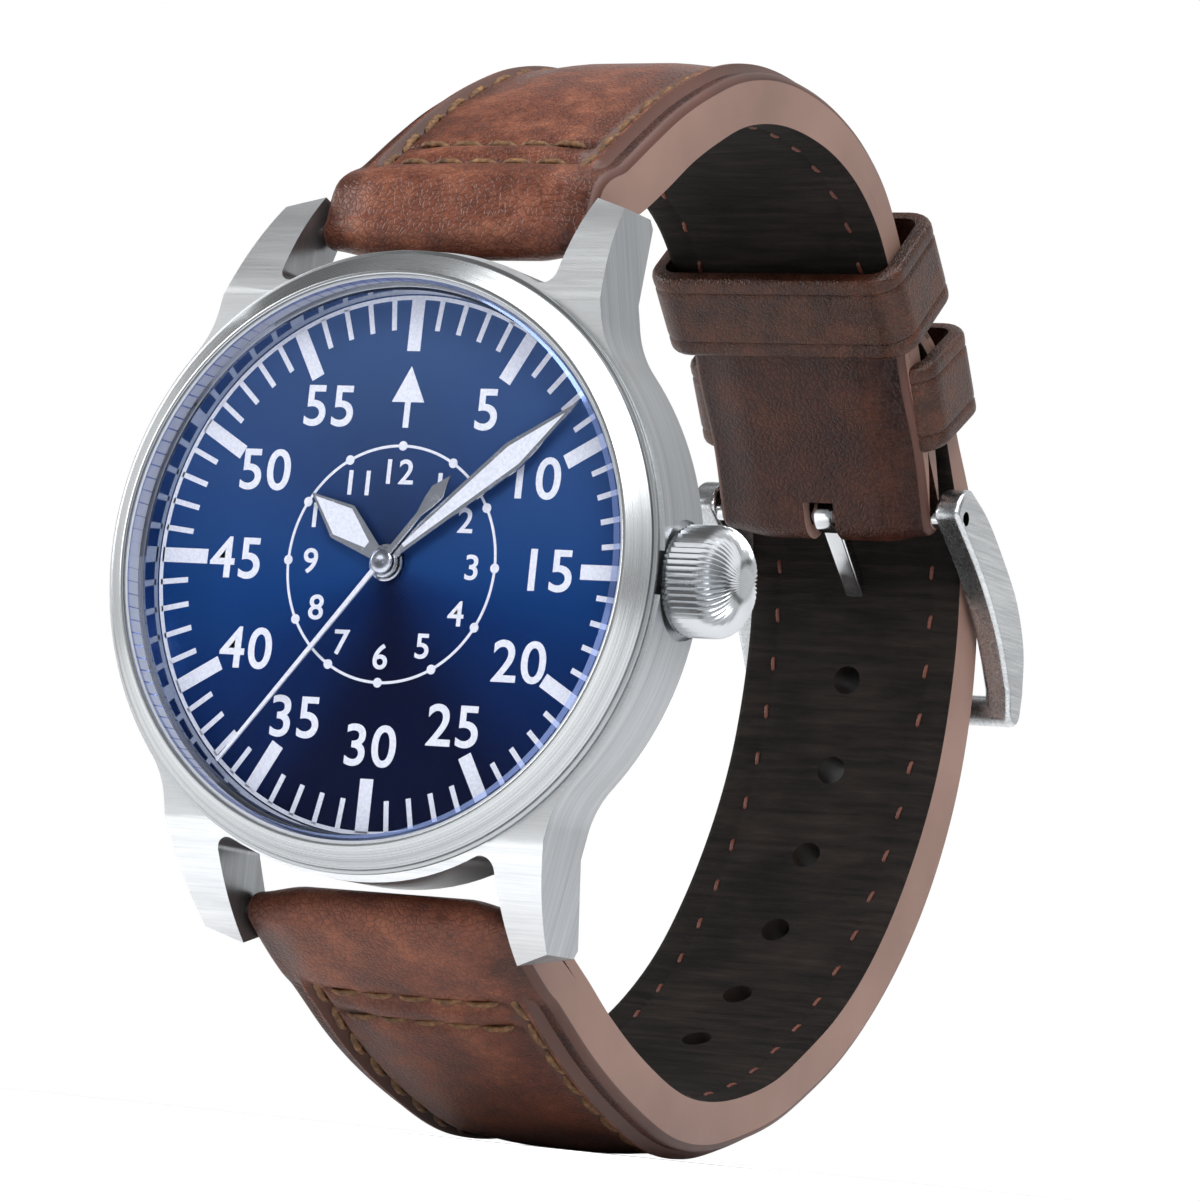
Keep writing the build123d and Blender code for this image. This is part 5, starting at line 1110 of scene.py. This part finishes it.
thread_model = stitch("thread_stitch", STITCH_LENGTH, STITCH_RADIUS, STITCH_DIP)
bobbin_model = stitch("bobbin_stitch", BOBBIN_LENGTH, BOBBIN_RADIUS, BOBBIN_DIP)
STRAPS = (
    ("strap_short", short_path, short_lengths, short_cross, length_at(short_path, 46.0)),
    ("strap_long", long_path, long_lengths, long_cross, long_lengths[-1] - 5.0),
)
for strap, path, lengths, cross, end in STRAPS:
    seam = side_seams(path, lengths, cross[0] + 0.6, end, STITCH_PITCH, STITCH_INSET)
    sew(f"{strap}_side_stitches", thread_model, path, lengths, seam, waxed_thread, -0.42)
for strap, path, lengths, cross, end in STRAPS:
    seam = [(along, i * CROSS_PITCH, radians(84)) for along in cross for i in (-2, -1, 0, 1, 2)]
    sew(f"{strap}_cross_stitches", thread_model, path, lengths, seam, waxed_thread, -0.12, 0.86)
for strap, path, lengths, left in (
    ("strap_short", short_lining_path, short_lining_lengths, 2),
    ("strap_long", long_lining_path, long_lining_lengths, 5),
):
    seam = side_seams(path, lengths, 4.0, lengths[-1] - left, BOBBIN_PITCH, BOBBIN_INSET)
    sew(f"{strap}_bobbin_stitches", bobbin_model, path, lengths, seam, bobbin_thread, -0.05)
for model in (thread_model, bobbin_model):
    bpy.data.objects.remove(model, do_unlink=True)

# Keepers: two leather loops round the strap, skived, folded and glued, their edges rounded.
# A line is embossed near each edge. One is sewn in place, and the other slides.
KEEPER_ORBIT, KEEPER_LENGTH, KEEPER_WALL = 30.9, 6.5, 1.1
KEEPER_HALF_HOLE, KEEPER_CORNER = 8.664, 1.1
KEEPER_COLUMNS = (0.0, 0.08, 0.2, 0.4, 0.8, 1.0, 1.2, 1.4, 1.6, 2.2)
# Keeper leather: the strap's hide, glossier from handling, with smaller clouds
keeper_leather = oiled_leather("leather_keeper_red_brown", ("#40241a", "#6b4230", "#8f5c44"), 0.32, 1.3)


def keeper_relief(distance, half_width, along):
    return 0.3 * max(0.0, 1 - distance / 0.4) ** 2 + 0.13 * bell(distance, 1.2, 0.22)


def keeper(name, angle, tilt, low, high, node, body):
    """A closed leather ring round the strap; low and high are its hole's reach in and out from its centre."""
    out, across = ray(angle + tilt), Vector((1, 0, 0))
    centre = Vector((0, LOOP_DEPTH, LOOP_RISE)) + ray(angle) * KEEPER_ORBIT
    half, top, foot = KEEPER_HALF_HOLE - KEEPER_CORNER, high - KEEPER_CORNER, KEEPER_CORNER - low
    rows = []
    for quarter_turn, (x, y) in enumerate(((half, top), (-half, top), (-half, foot), (half, foot))):
        for step in range(7):
            turn = radians(90 * quarter_turn + 15 * step)
            direction = across * cos(turn) + out * sin(turn)
            inner = centre + (across * x + out * y) + direction * KEEPER_CORNER
            outer = centre + (across * x + out * y) + direction * (KEEPER_CORNER + KEEPER_WALL)
            rows.append((inner, outer, KEEPER_LENGTH / 2))
    rows.append(rows[0])
    forward = Vector((0, -out.z, out.y))
    ring, _ = ribbon(name, rows, KEEPER_COLUMNS, 4, keeper_relief, forward, closed=True)
    dress(ring, body, (keeper_leather,), node)
    smooth(ring, 50)


keeper("keeper_fixed_leather", 40.0, -5.0, 2.95, 3.6, "fixed_keeper", "case")
keeper("keeper_free_leather", 57.0, -13.0, 3.4, 3.95, "free_keeper", "free_keeper")

# Buckle: a brushed steel frame of two bowed arms and a round crosspiece, cast in one and ground.
# A polished bar through the arms carries it in the strap's fold, and the tongue turns on that bar.
CROSS = (65.976, 0.4908)
SPAN, SPAN_ANGLE = 17.2456, -46.0037
ARM_INNER, ARM_WIDTH, ARM_BOW = 8.75, 2.0, 3.0
CROSS_RADIUS, BAR_ROD = 1.1, 0.75
INNER_SHARES = ((-0.054, -0.356), (0.312, 0.071), (0.629, 0.165), (0.883, -0.052))
OUTER_SHARES = ((-0.061, 0.704), (0.132, 1.143), (0.36, 1.395), (0.609, 1.531), (0.829, 1.264), (0.987, 0.639))
TONGUE_ANGLE, TONGUE_LENGTH, TONGUE_HALF = -40.3799, 18.0456, 0.72
TONGUE_RING = ((0.79, -0.75), (1.3, -0.75), (1.35, -0.6), (1.35, 0.6), (1.3, 0.75), (0.79, 0.75), (0.79, -0.75))
# Buckle steel: brushed along the arms, a little brighter and glossier than the case
buckle_steel = brushed_steel("steel_brushed_buckle", (5200, 160, 5200), "#a2a5a8", "#d0d3d5", 0.26, (46, 0, 0))
span_line = Vector((cos(radians(SPAN_ANGLE)), sin(radians(SPAN_ANGLE))))
bow_line = Vector((-span_line.y, span_line.x))


def arm_point(shares):
    return Vector(BUCKLE_BAR) + span_line * SPAN * shares[0] + bow_line * ARM_BOW * shares[1]


def curve_through(points, steps=5):
    """A smooth outline through points (Catmull-Rom)."""
    guide = [2 * points[0] - points[1], *points, 2 * points[-1] - points[-2]]
    found = []
    for a, b, c, d in zip(guide, guide[1:], guide[2:], guide[3:]):
        for t in [i / steps for i in range(steps)]:
            found.append((2 * b + (c - a) * t + (2 * a - 5 * b + 4 * c - d) * t**2 + (3 * b - a - 3 * c + d) * t**3) / 2)
    return found + [points[-1]]


inner_curve = curve_through([arm_point(p) for p in INNER_SHARES])
outer_curve = curve_through([arm_point(p) for p in OUTER_SHARES])
tip_points = [tuple(Vector(CROSS) + Vector(p) * CROSS_RADIUS) for p in ((-1, 0), (0, -1), (1, 0))]
tip = arc_points(*tip_points, 10)
top = arc_points(tuple(outer_curve[0]), tuple(arm_point((-0.093, 0.183))), tuple(inner_curve[0]), 8)
arm_outline = [tuple(p) for p in inner_curve] + tip + [tuple(p) for p in reversed(outer_curve)] + top[1:-1]
frame_pieces = []
for side in (1, -1):
    arm = plate("buckle_arm", arm_outline, side * ARM_INNER, side * (ARM_INNER + ARM_WIDTH), "X")
    bevel(arm, 0.38, 3, 35)
    frame_pieces.append(arm)
rod_end = ARM_INNER + ARM_WIDTH - 0.5
frame_pieces.append(turned("crosspiece", rod(CROSS_RADIUS, -rod_end, rod_end), 48, "X", (0, *CROSS)))
buckle = join("buckle_frame_steel", frame_pieces)
dress(buckle, "buckle", (buckle_steel,), "buckle_frame")
smooth(buckle, 35)
bar_end = ARM_INNER + ARM_WIDTH
bar_profile = (
    (FIRST_TURN, -bar_end), (BAR_ROD * 0.7, -bar_end), (BAR_ROD, 0.2 - bar_end), (BAR_ROD, bar_end - 0.2),
    (BAR_ROD * 0.7, bar_end), (FIRST_TURN, bar_end),
)
bar = turned("buckle_bar_steel", bar_profile, 40, "X", (0, *BUCKLE_BAR))
dress(bar, "buckle", (steel_polished,), "buckle_bar")
smooth(bar, 35)
along = Vector((cos(radians(TONGUE_ANGLE)), sin(radians(TONGUE_ANGLE))))
beside = Vector((-along.y, along.x))
half_tongue = [(1.1, 0.52), (TONGUE_LENGTH - 0.9, 0.5), (TONGUE_LENGTH - 0.2, 0.3)]
tongue_outline = [(reach, -half) for reach, half in half_tongue] + [(TONGUE_LENGTH, 0.0)] + half_tongue[::-1]
tongue_outline = [tuple(Vector(BUCKLE_BAR) + along * reach + beside * half) for reach, half in tongue_outline]
tongue = plate("buckle_tongue_steel", tongue_outline, -TONGUE_HALF, TONGUE_HALF, "X")
bevel(tongue, 0.3, 3, 35)
tongue_eye = turned("tongue_ring", TONGUE_RING, 48, "X", (0, *BUCKLE_BAR))
tongue = join("buckle_tongue_steel", [tongue, tongue_eye])
dress(tongue, "tongue", (steel_polished,), "buckle_tongue")
smooth(tongue, 35)

# Case back: a steel disc that closes the case against its gasket, turned and brushed in rings.
# Six notches in its rim take the key that screws it down.
BACK_RADIUS, BACK_RIM, BACK_SPIGOT, BACK_FLOOR = 16.6, 1.1, MOVEMENT_BORE - 0.02, -1.0
NOTCH_START, NOTCH_WIDE = -1.4, 1.3
back_profile = (
    (FIRST_TURN, 0.0), (BACK_RADIUS - BACK_RIM, 0.0), (BACK_RADIUS, CASE_REAR / 2), (BACK_RADIUS, CASE_REAR),
    (BACK_SPIGOT, CASE_REAR), (BACK_SPIGOT, CASE_REAR - 0.9), (MOVEMENT_BORE - BACK_RIM, CASE_REAR - 0.9),
    (MOVEMENT_BORE - BACK_RIM, BACK_FLOOR), (FIRST_TURN, BACK_FLOOR),
)
case_back = turned("case_back_steel", back_profile, 240)
for turn in [radians(30 + 60 * i) for i in range(6)]:
    out, side = Vector((cos(turn), sin(turn))), Vector((-sin(turn), cos(turn)))
    corners = ((NOTCH_START, -NOTCH_WIDE), (1, -NOTCH_WIDE), (1, NOTCH_WIDE), (NOTCH_START, NOTCH_WIDE))
    key_notch = [tuple(out * (BACK_RADIUS + a) + side * b) for a, b in corners]
    cut(case_back, plate("key_notch", key_notch, -0.7, 1.0))
bevel(case_back, 0.1, 2, 20, material=1)
dress(case_back, "case", (steel_rings, steel_polished), "case_back")
smooth(case_back, 20)

# Spring bars: steel rods with sprung tips that snap into the lugs' holes.
# The strap's ends wrap them, so they are barely seen.
SHOULDER, TIP = 9.65, 11.1
half_bar = [(0.3, TIP), (0.4, TIP - 0.1), (0.4, SHOULDER), (0.7, SHOULDER), (0.8, SHOULDER - 0.1)]
bar_profile = [(FIRST_TURN, -TIP), *[(radius, -end) for radius, end in half_bar], *half_bar[::-1], (FIRST_TURN, TIP)]
for side, name in ((1, "spring_bar_12"), (-1, "spring_bar_6")):
    spring_bar = turned(name, bar_profile, 32, "X", (0, -BAR_DEPTH, side * BAR_REACH))
    dress(spring_bar, "case", (steel_polished,), "spring_bars")
    smooth(spring_bar, 35)

# Movement and seals: the solids' own forms, hidden inside the case, in their real metals and rubber.
# A node's name tells its material by the first of these words found in it.


def worked(name, colour, roughness, scale, metallic=1.0):
    """A worked metal, stone or rubber surface with fine tool marks in its gloss and height."""
    material, tree, place = new_material(name)
    marks = noise(tree, place, scale, 5.0)
    rough = ranged(tree, marks, roughness - 0.08, roughness + 0.1)
    links = {"Roughness": rough, "Normal": raised(tree, marks, 0.15, 0.01)}
    show(tree, "ShaderNodeBsdfPrincipled", {"Base Color": srgb(colour), "Metallic": metallic}, links)
    return material


STEEL_WORDS = (
    "arbor", "pinion", "fork", "stem", "clutch", "cannon", "post", "hairspring", "mainspring", "escape", "bearing",
    "tube",
)
# Yellow gilt wheels, bright hardened steel, blue screws, red jewels, black and grey seals, a grey rotor
# and pale rhodium plates
rhodium = worked("rhodium_plated_brass", "#c9c8c4", 0.28, 3000)
FINISHES = (
    (worked("gilt_brass_wheels", "#c8a04e", 0.26, 3500), ("wheel", "barrel", "balance_wheel")),
    (worked("hardened_steel_pivots", "#b4b8bc", 0.2, 3500), STEEL_WORDS),
    (worked("blued_steel_screws", "#2b3f78", 0.22, 3500), ("screw",)),
    (worked("synthetic_ruby", "#9c1537", 0.12, 2500, 0.0), ("jewel",)),
    (worked("black_nitrile_rubber", "#1b1b1c", 0.6, 4000, 0.0), ("back_gasket", "crown_gasket")),
    (worked("grey_nylon_seal", "#bfc2c4", 0.45, 4000, 0.0), ("crystal_gasket",)),
    (worked("brushed_rotor_alloy", "#aeb0b2", 0.3, 2600), ("rotor",)),
    (rhodium, ("plate", "bridge", "cock", "movement_ring")),
)
for name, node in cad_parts.items():
    if not node.hide_render:
        finish = next((metal for metal, words in FINISHES if any(word in name for word in words)), rhodium)
        node.data.materials.clear()
        node.data.materials.append(finish)
